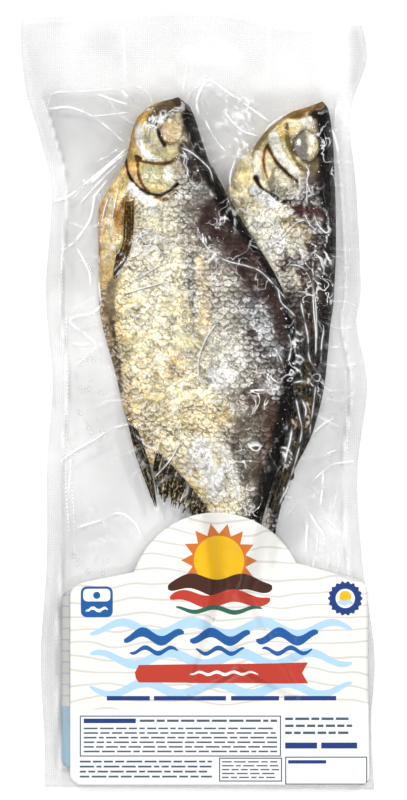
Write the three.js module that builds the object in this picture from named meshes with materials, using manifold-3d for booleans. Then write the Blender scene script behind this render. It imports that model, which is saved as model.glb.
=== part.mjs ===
// A vacuum pouch with two whole dried fish in it and a sticker on each face, lying on its back.
// Millimetres. +Z points up through the shown face and +Y towards the hang slot. The origin is at the
// middle of the pack, on the surface that it lies on.
import * as THREE from "three";
import { mergeVertices } from "three/addons/utils/BufferGeometryUtils.js";
import Module from "manifold-3d";

const wasm = await Module();
wasm.setup();

// ---- driving dimensions ----

const pouch = {
  filmPair: 1.2, // both films where they lie together, thicker than real so that the solid holds
  restHeight: 3.4, // how high the sealed border hangs over the surface at the ends of the pack
  borderLift: 2.6, // how much higher it hangs beside the fish
  // The cut edges, pulled in where the film is stretched over the fish.
  top: [[-79.2, 171], [-35, 173.8], [-3, 175.4], [19, 172.9], [41.5, 168], [74, 168]],
  right: [[74, 168], [75.9, 152], [68.4, 127], [71.2, 94], [73.2, 50], [71.3, 33.4], [76, 6], [71.9, -32],
    [73.9, -72], [79.4, -115], [77.9, -145], [79.2, -175.4]],
  left: [[-68.7, -174.2], [-68.8, -155], [-70.5, -115], [-67.8, -72], [-67.6, -27], [-65.2, 8], [-68.2, 47],
    [-65.7, 92], [-71, 117.6], [-77.3, 139], [-79.5, 160], [-79.2, 171]],
};
const hangSlot = { x: 5.7, y: 155.8, width: 24.8, height: 5.8, arch: 0.5, notchX: 3.3, notchRadius: 2.2 };
const film = { pull: 0.25, pitch: 1.9, passes: 500 }; // suction bends free film by this much, in 1/mm

// Edges are [y, x], and the middle's height is given at the belly edge and at the back edge.
const frontFish = {
  belly: [[135.4, -8.7], [132, -20.5], [124, -28.2], [107, -32.5], [83, -44.6], [45, -44.4], [13, -37.4],
    [-25, -26], [-38, -7], [-54, 4.5], [-88, 10.5]],
  back: [[135.4, -8.7], [131, -3.5], [112, 3.3], [85, 16.8], [45, 39.3], [20, 45.3], [-5, 41.5],
    [-54, 28.9], [-88, 19.5]],
  thickness: [[135.4, 7], [115, 21], [60, 22], [-5, 18], [-54, 10], [-88, 6]],
  bellyShare: [[135.4, 1], [105, 0.9], [70, 0.5], [-20, 0.55], [-60, 1]],
  bellyMiddle: [[135.4, 9], [100, 6], [60, 0.8], [15, 0.8], [-20, 5], [-88, 7.5]],
  backMiddle: [[135.4, 9], [110, 11.5], [70, 22], [20, 28], [-20, 24], [-54, 15], [-88, 9]],
  tail: { length: 45, spread: 48, fork: 14, thickness: 2.2, lean: 0.12 },
  fins: [
    { height: 6, thickness: 2, outline: [[-30.5, -11.6], [-27.3, -13.8], [-18.3, -49.4], [-26, -27.3]] },
    { height: 8, thickness: 2, outline: [[-22.4, -28], [-12, -26], [6, -50], [-3.5, -52], [-17.4, -44.4]] },
  ],
};
const rearFish = {
  belly: [[133.6, 56], [129, 45], [114, 31.4], [100, 20], [60, -8], [35, -10], [10, -4], [-33, 14],
    [-52, 20], [-75, 23]],
  back: [[133.6, 56], [130, 58.6], [112, 60.9], [60, 60.7], [31, 58.6], [9, 57.2], [-14, 51.9], [-36, 41.5],
    [-54, 36], [-75, 33]],
  thickness: [[133.6, 7], [112, 22], [60, 22], [-12, 16], [-52, 9], [-75, 5]],
  bellyShare: [[133.6, 1], [108, 0.9], [75, 0.38], [-12, 0.45], [-60, 1]],
  bellyMiddle: [[133.6, 8], [100, 7], [60, 3.9], [-52, 4.4], [-75, 4.6]],
  backMiddle: [[133.6, 8], [100, 10.6], [60, 10.6], [-12, 8.2], [-75, 4.6]],
  tail: { length: 42, spread: 44, fork: 13, thickness: 2.2, lean: -0.1 },
  fins: [],
};

const sticker = { gap: 0.3, thickness: 0.5 };
const frontSticker = {
  left: -57.4, rightTop: 76.2, rightBottom: 77.2, bottom: -173.4, cornerRadius: 5,
  dome: { x: 8.6, y: -90, radius: 39.3 },
  leftJoin: [-29.8, -77.2], leftShoulder: -83.2, rightJoin: [43.4, -73.8], rightShoulder: -81.4,
};
const rearSticker = { left: -61.2, right: 72, top: -86, bottom: -165.5, cornerRadius: 4 };

// ---- smooth lines and fields ----

// A smooth function through [position, value] pairs given in either order, held flat past its ends.
function through(pairs) {
  const points = [...pairs].sort((a, b) => a[0] - b[0]);
  const slopeAt = (i) => {
    if (i === 0 || i === points.length - 1) {
      const [a, b] = i === 0 ? [points[0], points[1]] : [points[i - 1], points[i]];
      return (b[1] - a[1]) / (b[0] - a[0]);
    }
    const before = (points[i][1] - points[i - 1][1]) / (points[i][0] - points[i - 1][0]);
    const after = (points[i + 1][1] - points[i][1]) / (points[i + 1][0] - points[i][0]);
    return before * after <= 0 ? 0 : (2 * before * after) / (before + after);
  };
  return (position) => {
    const clamped = THREE.MathUtils.clamp(position, points[0][0], points.at(-1)[0]);
    const i = Math.max(1, points.findIndex((p) => p[0] >= clamped)) - 1;
    const span = points[i + 1][0] - points[i][0];
    const t = (clamped - points[i][0]) / span;
    return (
      points[i][1] * (1 + 2 * t) * (1 - t) ** 2 +
      slopeAt(i) * span * t * (1 - t) ** 2 +
      points[i + 1][1] * t * t * (3 - 2 * t) -
      slopeAt(i + 1) * span * t * t * (1 - t)
    );
  };
}

// The positions from one end to the other, in equal steps no longer than the pitch.
function steps(from, to, pitch) {
  const count = Math.ceil(Math.abs(to - from) / pitch);
  return Array.from({ length: count }, (_, i) => from + ((to - from) * i) / count);
}

// Whether x and y lie inside an outline of [x, y] corners.
function isInside(outline, x, y) {
  let inside = false;
  outline.forEach(([ax, ay], i) => {
    const [bx, by] = outline[(i + 1) % outline.length];
    if (ay > y !== by > y && x < ax + ((bx - ax) * (y - ay)) / (by - ay)) inside = !inside;
  });
  return inside;
}

// ---- the fish ----

// Returns a function of x and y that gives the fish's top and underside there, or null beside it.
function fishForm(fish) {
  const lines = {};
  for (const name of ["belly", "back", "thickness", "bellyShare", "bellyMiddle", "backMiddle"])
    lines[name] = through(fish[name]);
  const snoutY = fish.belly[0][0];
  const rootY = fish.belly.at(-1)[0];
  const rootX = (lines.belly(rootY) + lines.back(rootY)) / 2;
  const rootHalf = (lines.back(rootY) - lines.belly(rootY)) / 2;

  const tailAt = (x, y) => {
    const along = (rootY - y) / fish.tail.length;
    const half = THREE.MathUtils.lerp(rootHalf, fish.tail.spread / 2, along);
    const across = (x - rootX - fish.tail.lean * (rootY - y)) / half;
    const end = 1 - (fish.tail.fork / fish.tail.length) * (1 - Math.abs(across));
    if (Math.abs(across) > 1 || along > end) return null;
    const thickness = THREE.MathUtils.lerp(lines.thickness(rootY), fish.tail.thickness, Math.sqrt(along));
    const middle = THREE.MathUtils.lerp(lines.backMiddle(rootY), pouch.restHeight + 1, along);
    return { top: middle + thickness / 2, underside: middle - thickness / 2 };
  };

  const bodyAt = (x, y) => {
    const across = (x - lines.belly(y)) / (lines.back(y) - lines.belly(y));
    if (!(across > 0 && across < 1)) return null;
    const roundness = (1 - Math.abs(2 * across - 1) ** 2.6) ** 0.55;
    const filling = THREE.MathUtils.smoothstep(across, 0.05, 0.62);
    const fullness = THREE.MathUtils.lerp(lines.bellyShare(y), 1, filling);
    const half = (lines.thickness(y) / 2) * roundness * fullness;
    const middle = THREE.MathUtils.lerp(lines.bellyMiddle(y), lines.backMiddle(y), across);
    return { top: middle + half, underside: Math.max(0, middle - half) };
  };

  return (x, y) => {
    if (y > snoutY) return null;
    const main = y < rootY ? tailAt(x, y) : bodyAt(x, y);
    const fin = fish.fins.find(({ outline }) => isInside(outline, x, y));
    if (main || !fin) return main;
    return { top: fin.height + fin.thickness / 2, underside: fin.height - fin.thickness / 2 };
  };
}

// ---- the films ----

// The height of the border halfway between the films, where they lie together.
function borderHeight(x, y) {
  const beside = pouch.borderLift * Math.exp(-(((y - 20) / 75) ** 2));
  const wave = 0.9 * Math.sin(y / 16 + Math.sign(x)) * Math.abs(x / 75) ** 3;
  return pouch.restHeight + beside + wave;
}

// Stretches a film over what it holds: free film curves in by the pull, and side is +1 above and -1 below.
function stretchFilm(forms, side) {
  const xs = [...steps(-84, 84, film.pitch), 84];
  const ys = [...steps(-180, 180, film.pitch), 180];
  const limit = ys.map((y) => xs.map((x) => {
    const border = side * borderHeight(x, y) + pouch.filmPair / 2;
    const found = forms.map((form) => form(x, y)).filter(Boolean);
    return Math.max(border, ...found.map((f) => (side > 0 ? f.top : -f.underside)));
  }));
  const height = limit.map((row) => [...row]);
  const sag = (film.pull * film.pitch ** 2) / 4;
  for (let pass = 0; pass < film.passes; pass++)
    for (let j = 1; j < ys.length - 1; j++)
      for (let i = 1; i < xs.length - 1; i++) {
        const around = height[j - 1][i] + height[j + 1][i] + height[j][i - 1] + height[j][i + 1];
        height[j][i] = Math.max(limit[j][i], around / 4 - sag);
      }

  const stepX = xs[1] - xs[0];
  const stepY = ys[1] - ys[0];
  return (x, y) => {
    const across = THREE.MathUtils.clamp((x - xs[0]) / stepX, 0, xs.length - 1.001);
    const along = THREE.MathUtils.clamp((y - ys[0]) / stepY, 0, ys.length - 1.001);
    const [i, j] = [Math.floor(across), Math.floor(along)];
    const lower = THREE.MathUtils.lerp(height[j][i], height[j][i + 1], across - i);
    const upper = THREE.MathUtils.lerp(height[j + 1][i], height[j + 1][i + 1], across - i);
    return side * THREE.MathUtils.lerp(lower, upper, along - j);
  };
}

// ---- solids ----

function solidOf(geometry) {
  const bare = new THREE.BufferGeometry().setAttribute("position", geometry.getAttribute("position"));
  bare.setIndex(geometry.index);
  const merged = mergeVertices(bare, 1e-3);
  const mesh = new wasm.Mesh({
    numProp: 3,
    vertProperties: merged.attributes.position.array,
    triVerts: new Uint32Array(merged.index.array),
  });
  return new wasm.Manifold(mesh);
}

// The solid between two heights, each a function of x and y, over the grid of the given lines.
function slab(lowAt, highAt, xs, ys) {
  const positions = [];
  for (const heightAt of [lowAt, highAt])
    for (const y of ys) for (const x of xs) positions.push(x, y, heightAt(x, y));
  const layer = xs.length * ys.length;
  const index = [];
  const quad = (a, b, c, d) => index.push(a, b, c, a, c, d);
  for (let j = 0; j < ys.length - 1; j++)
    for (let i = 0; i < xs.length - 1; i++) {
      const a = j * xs.length + i;
      const [b, c, d] = [a + 1, a + 1 + xs.length, a + xs.length];
      quad(layer + a, layer + b, layer + c, layer + d);
      index.push(a, c, b, a, d, c);
    }
  const wall = (a, b) => quad(a, b, layer + b, layer + a);
  const last = (ys.length - 1) * xs.length;
  for (let i = 0; i < xs.length - 1; i++) {
    wall(i, i + 1);
    wall(last + i + 1, last + i);
  }
  for (let j = 0; j < ys.length - 1; j++) {
    wall((j + 1) * xs.length, j * xs.length);
    wall((j + 1) * xs.length - 1, (j + 2) * xs.length - 1);
  }
  const geometry = new THREE.BufferGeometry();
  geometry.setAttribute("position", new THREE.Float32BufferAttribute(positions, 3));
  return solidOf(geometry.setIndex(index));
}

// The outline pulled up into a prism that is taller than the pack.
function prism(outline, curveSegments) {
  const geometry = new THREE.ExtrudeGeometry(outline, { depth: 90, bevelEnabled: false, curveSegments });
  return solidOf(geometry.translate(0, 0, -20));
}

function pouchOutline() {
  const outline = new THREE.Shape();
  const vectors = (points) => points.slice(1).map(([x, y]) => new THREE.Vector2(x, y));
  outline.moveTo(...pouch.left[0]);
  outline.splineThru(vectors(pouch.left));
  outline.splineThru(vectors(pouch.top));
  outline.splineThru(vectors(pouch.right));
  outline.closePath();
  return outline;
}

function slotOutline() {
  const outline = new THREE.Shape();
  const { x, y, arch, notchX, notchRadius } = hangSlot;
  const radius = hangSlot.height / 2;
  const reach = hangSlot.width / 2 - radius;
  outline.moveTo(x - reach, y - radius);
  outline.quadraticCurveTo(x, y - radius + 2 * arch, x + reach, y - radius);
  outline.absarc(x + reach, y, radius, -Math.PI / 2, Math.PI / 2);
  outline.lineTo(notchX + notchRadius, y + radius);
  outline.absarc(notchX, y + radius, notchRadius, 0, Math.PI);
  outline.lineTo(x - reach, y + radius);
  outline.absarc(x - reach, y, radius, Math.PI / 2, 1.5 * Math.PI);
  return outline;
}

function frontStickerOutline() {
  const { left, rightTop, rightBottom, bottom, cornerRadius: r, dome } = frontSticker;
  const { leftJoin, leftShoulder, rightJoin, rightShoulder } = frontSticker;
  const angleTo = ([x, y]) => Math.atan2(y - dome.y, x - dome.x);
  const outline = new THREE.Shape();
  outline.moveTo(left + r, bottom);
  outline.lineTo(rightBottom - r, bottom);
  outline.quadraticCurveTo(rightBottom, bottom, rightBottom, bottom + r);
  outline.lineTo(rightTop, rightShoulder - r);
  outline.quadraticCurveTo(rightTop, rightShoulder, rightTop - 1.6 * r, rightShoulder + 1.5);
  outline.lineTo(...rightJoin);
  outline.absarc(dome.x, dome.y, dome.radius, angleTo(rightJoin), angleTo(leftJoin));
  outline.lineTo(left + 1.6 * r, leftShoulder + 1.5);
  outline.quadraticCurveTo(left, leftShoulder, left, leftShoulder - r);
  outline.lineTo(left, bottom + r);
  outline.quadraticCurveTo(left, bottom, left + r, bottom);
  return outline;
}

function rearStickerOutline() {
  const { left, right, top, bottom, cornerRadius: r } = rearSticker;
  const outline = new THREE.Shape();
  outline.absarc(left + r, bottom + r, r, Math.PI, 1.5 * Math.PI);
  outline.absarc(right - r, bottom + r, r, -Math.PI / 2, 0);
  outline.absarc(right - r, top - r, r, 0, Math.PI / 2);
  outline.absarc(left + r, top - r, r, Math.PI / 2, Math.PI);
  return outline;
}

// ---- assembly ----

// Fine over the fish, coarse over the flat borders and the stickers.
const fineX = [...steps(-84, -50, 8.5), ...steps(-50, 64, 3.6), ...steps(64, 84, 6.7), 84];
const fineY = [...steps(-180, -58, 8.2), ...steps(-58, 140, 3.6), ...steps(140, 180, 8), 180];
const everySecond = (lines) => lines.filter((_, i) => i % 2 === 0 || i === lines.length - 1);
const coarseX = everySecond(fineX);
const coarseY = everySecond(fineY);

const forms = [frontFish, rearFish].map(fishForm);
const topFilm = stretchFilm(forms, 1);
const lowFilm = stretchFilm(forms, -1);
const restingFilm = (x, y) => Math.max(0, lowFilm(x, y));
const offset = (heightAt, by) => (x, y) => heightAt(x, y) + by;
const ceiling = () => 60;
const depth = () => -15;

function pouchSolid() {
  return slab(depth, topFilm, fineX, fineY)
    .intersect(slab(restingFilm, ceiling, coarseX, coarseY))
    .intersect(prism(pouchOutline(), 3))
    .subtract(prism(slotOutline(), 8));
}

function frontStickerSolid() {
  const high = offset(topFilm, sticker.gap + sticker.thickness);
  const skin = slab(offset(topFilm, sticker.gap), high, fineX, fineY);
  return skin.intersect(prism(frontStickerOutline(), 10));
}

function rearStickerSolid() {
  const low = offset(restingFilm, -sticker.gap - sticker.thickness);
  const skin = slab(low, offset(restingFilm, -sticker.gap), coarseX, coarseY);
  return skin.intersect(prism(rearStickerOutline(), 4));
}

function meshOf(name, solid, look) {
  const { numProp, vertProperties, triVerts } = solid.getMesh();
  const geometry = new THREE.BufferGeometry();
  const positions = [];
  for (let i = 0; i < vertProperties.length; i += numProp) positions.push(...vertProperties.slice(i, i + 3));
  geometry.setAttribute("position", new THREE.Float32BufferAttribute(positions, 3));
  geometry.setIndex(new THREE.BufferAttribute(new Uint32Array(triVerts), 1));
  const mesh = new THREE.Mesh(geometry, new THREE.MeshStandardMaterial(look));
  mesh.name = name;
  return mesh;
}

const pack = new THREE.Group();
pack.add(meshOf("pouch", pouchSolid(), { color: 0x9c8b6c, roughness: 0.18, metalness: 0 }));
pack.add(meshOf("front_label", frontStickerSolid(), { color: 0xf1f1ee, roughness: 0.45, metalness: 0 }));
pack.add(meshOf("back_label", rearStickerSolid(), { color: 0xe9f1f6, roughness: 0.5, metalness: 0 }));

export default pack;
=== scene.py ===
import math

import bpy
import numpy as np
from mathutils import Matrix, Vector
from mathutils.geometry import delaunay_2d_cdt


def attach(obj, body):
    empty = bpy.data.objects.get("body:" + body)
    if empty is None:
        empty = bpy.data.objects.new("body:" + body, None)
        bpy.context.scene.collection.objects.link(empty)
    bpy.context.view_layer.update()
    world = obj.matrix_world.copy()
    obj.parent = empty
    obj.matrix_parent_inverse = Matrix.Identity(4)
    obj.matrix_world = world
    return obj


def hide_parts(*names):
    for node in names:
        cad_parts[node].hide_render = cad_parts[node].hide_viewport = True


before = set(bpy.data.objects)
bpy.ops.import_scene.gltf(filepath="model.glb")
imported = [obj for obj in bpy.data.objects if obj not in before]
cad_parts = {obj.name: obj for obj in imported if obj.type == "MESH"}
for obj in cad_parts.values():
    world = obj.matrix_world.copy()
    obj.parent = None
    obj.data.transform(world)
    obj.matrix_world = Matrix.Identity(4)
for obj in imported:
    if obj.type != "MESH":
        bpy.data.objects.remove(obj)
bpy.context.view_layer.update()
print("frame loaded")

mm = 0.001
photo = {"scale": 0.45, "middle": (197.75, 399.25)}  # mm for a pixel, and the pixel that lies on the origin


# Lines, fields and outlines. All of them are in millimetres.

def fromPhoto(points):
    places = (np.asarray(points, float) - photo["middle"]) * photo["scale"]
    return places * (1, -1)


def mix(a, b, share):
    return a + (b - a) * share


def smoothStep(value, low, high):
    t = np.clip((value - low) / (high - low), 0, 1)
    return t * t * (3 - 2 * t)


def smoothLine(pairs):  # a smooth function through [position, value] pairs, flat past its ends
    places, values = np.array(sorted(pairs), float).T
    steps = np.diff(values) / np.diff(places)
    product = steps[:-1] * steps[1:]
    together = np.where(product > 0, steps[:-1] + steps[1:], 1)
    inner = np.where(product > 0, 2 * product / together, 0)
    slopes = np.concatenate([steps[:1], inner, steps[-1:]])

    def at(position):
        spot = np.clip(position, places[0], places[-1])
        i = np.clip(np.searchsorted(places, spot) - 1, 0, len(places) - 2)
        span = places[i + 1] - places[i]
        t = (spot - places[i]) / span
        start = values[i] * (1 + 2 * t) * (1 - t) ** 2 + slopes[i] * span * t * (1 - t) ** 2
        return start + values[i + 1] * t * t * (3 - 2 * t) - slopes[i + 1] * span * t * t * (1 - t)

    return at


def curveThrough(points, spacing=1.0):  # a rounded route through a few points, as close points
    points = np.asarray(points, float)
    padded = np.vstack([points[:1], points, points[-1:]])
    route = []
    for before, a, b, after in zip(padded[:-3], padded[1:-2], padded[2:-1], padded[3:]):
        count = max(2, int(np.linalg.norm(b - a) / spacing) + 1)
        t = np.linspace(0, 1, count, endpoint=False)[:, None]
        cubic = (3 * a - before - 3 * b + after) * t ** 3
        square = (2 * before - 5 * a + 4 * b - after) * t ** 2
        route.append(0.5 * (2 * a + (b - before) * t + square + cubic))
    return np.vstack(route + [points[-1:]])


def alongRoute(route, share):  # points at shares of a route's length
    route = np.asarray(route, float)
    lengths = np.concatenate([[0], np.cumsum(np.linalg.norm(np.diff(route, axis=0), axis=1))])
    return np.stack([np.interp(share * lengths[-1], lengths, column) for column in route.T], -1)


def arc(centre, radius, start, end, spacing=1.0):
    count = max(4, int(abs(end - start) * radius / spacing) + 1)
    angles = np.linspace(start, end, count)
    return np.stack([centre[0] + radius * np.cos(angles), centre[1] + radius * np.sin(angles)], 1)


def bend(start, corner, end, count=6):
    t = np.linspace(0, 1, count)[:, None]
    return (1 - t) ** 2 * np.array(start) + 2 * t * (1 - t) * np.array(corner) + t ** 2 * np.array(end)


def finer(outline, spacing):  # the same closed outline with no stretch longer than the spacing
    outline = np.asarray(outline, float)
    points = []
    for a, b in zip(outline, np.roll(outline, -1, axis=0)):
        length = np.linalg.norm(b - a)
        if length > 1e-4:
            count = max(1, math.ceil(length / spacing))
            points.append(a + (b - a) * np.linspace(0, 1, count, endpoint=False)[:, None])
    return np.vstack(points)


def roughField(x, y, grain, seed, octaves=3):  # soft bumps about one grain wide, from -1 to 1
    total, weight, gain = np.zeros(np.shape(x)), 0, 1.0
    for octave in range(octaves):
        lattice = np.random.default_rng(seed * 31 + octave).uniform(-1, 1, (256, 256))
        u, v = x / grain + 17.3 * octave, y / grain + 5.7 * octave
        i, j = np.floor(u).astype(int), np.floor(v).astype(int)
        fu, fv = smoothStep(u - i, 0, 1), smoothStep(v - j, 0, 1)
        low = mix(lattice[j % 256, i % 256], lattice[j % 256, (i + 1) % 256], fu)
        high = mix(lattice[(j + 1) % 256, i % 256], lattice[(j + 1) % 256, (i + 1) % 256], fu)
        total += gain * mix(low, high, fv)
        weight += gain
        grain, gain = grain / 2, gain * 0.5
    return total / weight * 1.6  # the bumps rarely reach their full height, so this brings them back to 1


def isInside(outline, x, y):
    inside = np.zeros(np.shape(x), bool)
    for (ax, ay), (bx, by) in zip(outline, np.roll(outline, -1, axis=0)):
        if ay != by:
            inside ^= ((ay > y) != (by > y)) & (x < ax + (bx - ax) * (y - ay) / (by - ay))
    return inside


def distanceTo(route, x, y, reach):  # how far each place is from a route, no more than the reach
    nearest = np.full(np.shape(x), float(reach))
    for (ax, ay), (bx, by) in zip(route[:-1], route[1:]):
        near = np.abs(x - (ax + bx) / 2) < reach + abs(bx - ax)
        near &= np.abs(y - (ay + by) / 2) < reach + abs(by - ay)
        if near.any():
            length = (bx - ax) ** 2 + (by - ay) ** 2 + 1e-9
            share = np.clip(((x[near] - ax) * (bx - ax) + (y[near] - ay) * (by - ay)) / length, 0, 1)
            apart = np.hypot(x[near] - ax - share * (bx - ax), y[near] - ay - share * (by - ay))
            nearest[near] = np.minimum(nearest[near], apart)
    return nearest


def srgbToLinear(colour):
    colour = np.clip(colour, 0, 1)
    return np.where(colour <= 0.04045, colour / 12.92, ((colour + 0.055) / 1.055) ** 2.4)


def hexTriple(code):
    return np.array([int(code[i:i + 2], 16) / 255 for i in (1, 3, 5)])


def hexColour(code):
    return (*srgbToLinear(hexTriple(code)), 1.0)


# Making objects and materials.

def placeObject(name, data):
    piece = bpy.data.objects.new(name, data)
    bpy.context.scene.collection.objects.link(piece)
    return piece


def makePiece(name, points, faces, material, smooth=True):
    mesh = bpy.data.meshes.new(name)
    mesh.from_pydata(np.asarray(points) * mm, [], faces)
    mesh.polygons.foreach_set("use_smooth", np.full(len(mesh.polygons), smooth))
    mesh.materials.append(material)
    mesh.update()
    return placeObject(name, mesh)


def addColours(mesh, label, colours, domain="POINT"):  # sRGB colours for a material, with or without an alpha
    alpha = colours[:, 3:] if colours.shape[1] == 4 else np.ones((len(colours), 1))
    linear = np.hstack([srgbToLinear(colours[:, :3]), alpha])
    layer = mesh.attributes.new(label, "FLOAT_COLOR", domain)
    layer.data.foreach_set("color", linear.astype("f").ravel())


def addValues(mesh, values):  # named numbers, one for each point, for a material
    for label, column in values.items():
        layer = mesh.attributes.new(label, "FLOAT", "POINT")
        layer.data.foreach_set("value", column.astype("f"))


def settle(piece):  # turns the piece and its modifiers into one plain mesh
    bpy.context.view_layer.update()
    evaluated = piece.evaluated_get(bpy.context.evaluated_depsgraph_get())
    mesh = bpy.data.meshes.new_from_object(evaluated)
    piece.modifiers.clear()
    piece.data = mesh
    return piece


def handOver(piece, node):
    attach(piece, "root")
    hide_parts(node)


def addNode(tree, kind, settings=None, links=None):
    node = tree.nodes.new(kind)
    for key, value in (settings or {}).items():
        if isinstance(key, int) or key in node.inputs:
            node.inputs[key].default_value = value
        else:
            setattr(node, key, value)
    for key, source in (links or {}).items():  # a node as a source stands for its first output
        socket = source if isinstance(source, bpy.types.NodeSocket) else source.outputs[0]
        tree.links.new(socket, node.inputs[key])
    return node


def startMaterial(name):
    material = bpy.data.materials.new(name)
    material.use_nodes = True
    tree = material.node_tree
    tree.nodes.clear()
    place = addNode(tree, "ShaderNodeTexCoord").outputs["Object"]
    return material, tree, place


def perMillimetre(size):  # the texture scale at which one cell is that many millimetres wide
    return 1000 / size


def noiseLines(tree, place, grain, band, strength, detail=2):  # thin curling lines, wider for a wider band
    settings = {"Scale": perMillimetre(grain), "Detail": detail, "Distortion": 0.7}
    noise = addNode(tree, "ShaderNodeTexNoise", settings, {"Vector": place})
    centred = addNode(tree, "ShaderNodeMath", {"operation": "SUBTRACT", 1: 0.5}, {0: noise})
    away = addNode(tree, "ShaderNodeMath", {"operation": "ABSOLUTE"}, {0: centred})
    return addNode(tree, "ShaderNodeMapRange", {"interpolation_type": "SMOOTHSTEP", "From Max": band,
                                                "To Min": strength, "To Max": 0.0}, {"Value": away})


def driedSkinMaterial():
    # Air-dried fish skin, salted and oily: dull and crumpled, with painted shade in its creases and
    # near-white flecks and threads that are painted glints, partly silver left on the scales.
    material, tree, place = startMaterial("driedSaltedSkin")
    tint = addNode(tree, "ShaderNodeAttribute", {"attribute_name": "skinTint"})
    mottle = addNode(tree, "ShaderNodeTexNoise", {"Scale": perMillimetre(1.7), "Detail": 5, "Roughness": 0.7},
                     {"Vector": place})
    shade = addNode(tree, "ShaderNodeMapRange",
                    {"From Min": 0.3, "From Max": 0.7, "To Min": 0.66, "To Max": 1.38}, {"Value": mottle})
    mottled = addNode(tree, "ShaderNodeMix", {"data_type": "RGBA", "blend_type": "MULTIPLY", "Factor": 1.0},
                      {6: tint, 7: shade})
    patches = addNode(tree, "ShaderNodeTexNoise", {"Scale": perMillimetre(7), "Detail": 2}, {"Vector": place})
    gate = addNode(tree, "ShaderNodeMapRange", {"From Min": 0.38, "From Max": 0.62, "To Min": 0.3},
                   {"Value": patches})
    # Painted shade: the colour is darkened along the crease lines, which are also grooves in the bump; partly
    # the dried skin's dark cracks.
    crease = noiseLines(tree, place, 2.1, 0.075, 0.75, 3)
    scaly = addNode(tree, "ShaderNodeMapRange", {"To Min": 0.35}, {"Value": tint.outputs["Alpha"]})
    creaseHere = addNode(tree, "ShaderNodeMath", {"operation": "MULTIPLY"}, {0: crease, 1: scaly})
    creaseShadeShare = addNode(tree, "ShaderNodeMath", {"operation": "MULTIPLY"}, {0: creaseHere, 1: gate})
    creaseShade = addNode(tree, "ShaderNodeMix",
                      {"data_type": "RGBA", "blend_type": "MULTIPLY", 7: hexColour("#5C4420")},
                      {"Factor": creaseShadeShare, 6: mottled.outputs[2]})
    # Painted glints: near-white flecks and thread-like lines, partly the silver left on the scales.
    glint = addNode(tree, "ShaderNodeTexNoise", {"Scale": perMillimetre(1.0), "Detail": 2}, {"Vector": place})
    glintFleck = addNode(tree, "ShaderNodeMapRange",
                    {"From Min": 0.56, "From Max": 0.68, "To Min": 0.0, "To Max": 0.8}, {"Value": glint})
    glintThread = noiseLines(tree, place, 2.7, 0.035, 0.75, 3)
    paintedHighlight = addNode(tree, "ShaderNodeMath", {"operation": "MAXIMUM"}, {0: glintFleck, 1: glintThread})
    glintShare = addNode(tree, "ShaderNodeMath", {"operation": "MULTIPLY"},
                         {0: paintedHighlight, 1: tint.outputs["Alpha"]})
    glinted = addNode(tree, "ShaderNodeMix", {"data_type": "RGBA", 7: hexColour("#FDFCF6")},
                      {"Factor": glintShare, 6: creaseShade.outputs[2]})
    relief = addNode(tree, "ShaderNodeMath", {"operation": "SUBTRACT"}, {0: mottle, 1: crease})
    bump = addNode(tree, "ShaderNodeBump", {"Strength": 0.6, "Distance": 0.3 * mm}, {"Height": relief})
    shader = addNode(tree, "ShaderNodeBsdfPrincipled",
                     {"Roughness": 0.42, "IOR": 1.45, "Specular IOR Level": 0.05},
                     {"Base Color": glinted.outputs[2], "Normal": bump})
    addNode(tree, "ShaderNodeOutputMaterial", {}, {"Surface": shader})
    return material


def finMaterial(name, colour, darkColour, streakScale):
    # Dried fin membrane and rays: horn-like, brown and streaked along the rays.
    material, tree, place = startMaterial(name)
    along = addNode(tree, "ShaderNodeUVMap", {"uv_map": "UVMap"})
    streaks = addNode(tree, "ShaderNodeMapping", {"Scale": streakScale}, {"Vector": along})
    noise = addNode(tree, "ShaderNodeTexNoise", {"Scale": 1.0, "Detail": 4}, {"Vector": streaks})
    speckle = addNode(tree, "ShaderNodeTexNoise",
                      {"Scale": perMillimetre(1.2), "Detail": 3}, {"Vector": place})
    both = addNode(tree, "ShaderNodeMath", {"operation": "MULTIPLY"}, {0: noise, 1: speckle})
    share = addNode(tree, "ShaderNodeMapRange", {"From Min": 0.24, "From Max": 0.4}, {"Value": both})
    tone = addNode(tree, "ShaderNodeMix",
                   {"data_type": "RGBA", 6: hexColour(darkColour), 7: hexColour(colour)}, {"Factor": share})
    # Painted shine: pale streaks along the rays, partly the membrane's pale translucent bits.
    paintedShine = addNode(tree, "ShaderNodeMapRange", {"From Min": 0.6, "From Max": 0.7, "To Max": 0.85},
                   {"Value": noise})
    withPaintedShine = addNode(tree, "ShaderNodeMix", {"data_type": "RGBA", 7: hexColour("#E6E1D0")},
                     {"Factor": paintedShine, 6: tone.outputs[2]})
    bump = addNode(tree, "ShaderNodeBump", {"Strength": 0.6, "Distance": 0.3 * mm}, {"Height": noise})
    shader = addNode(tree, "ShaderNodeBsdfPrincipled",
                     {"Roughness": 0.5, "IOR": 1.5, "Specular IOR Level": 0.05},
                     {"Base Color": withPaintedShine.outputs[2], "Normal": bump})
    addNode(tree, "ShaderNodeOutputMaterial", {}, {"Surface": shader})
    return material


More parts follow.
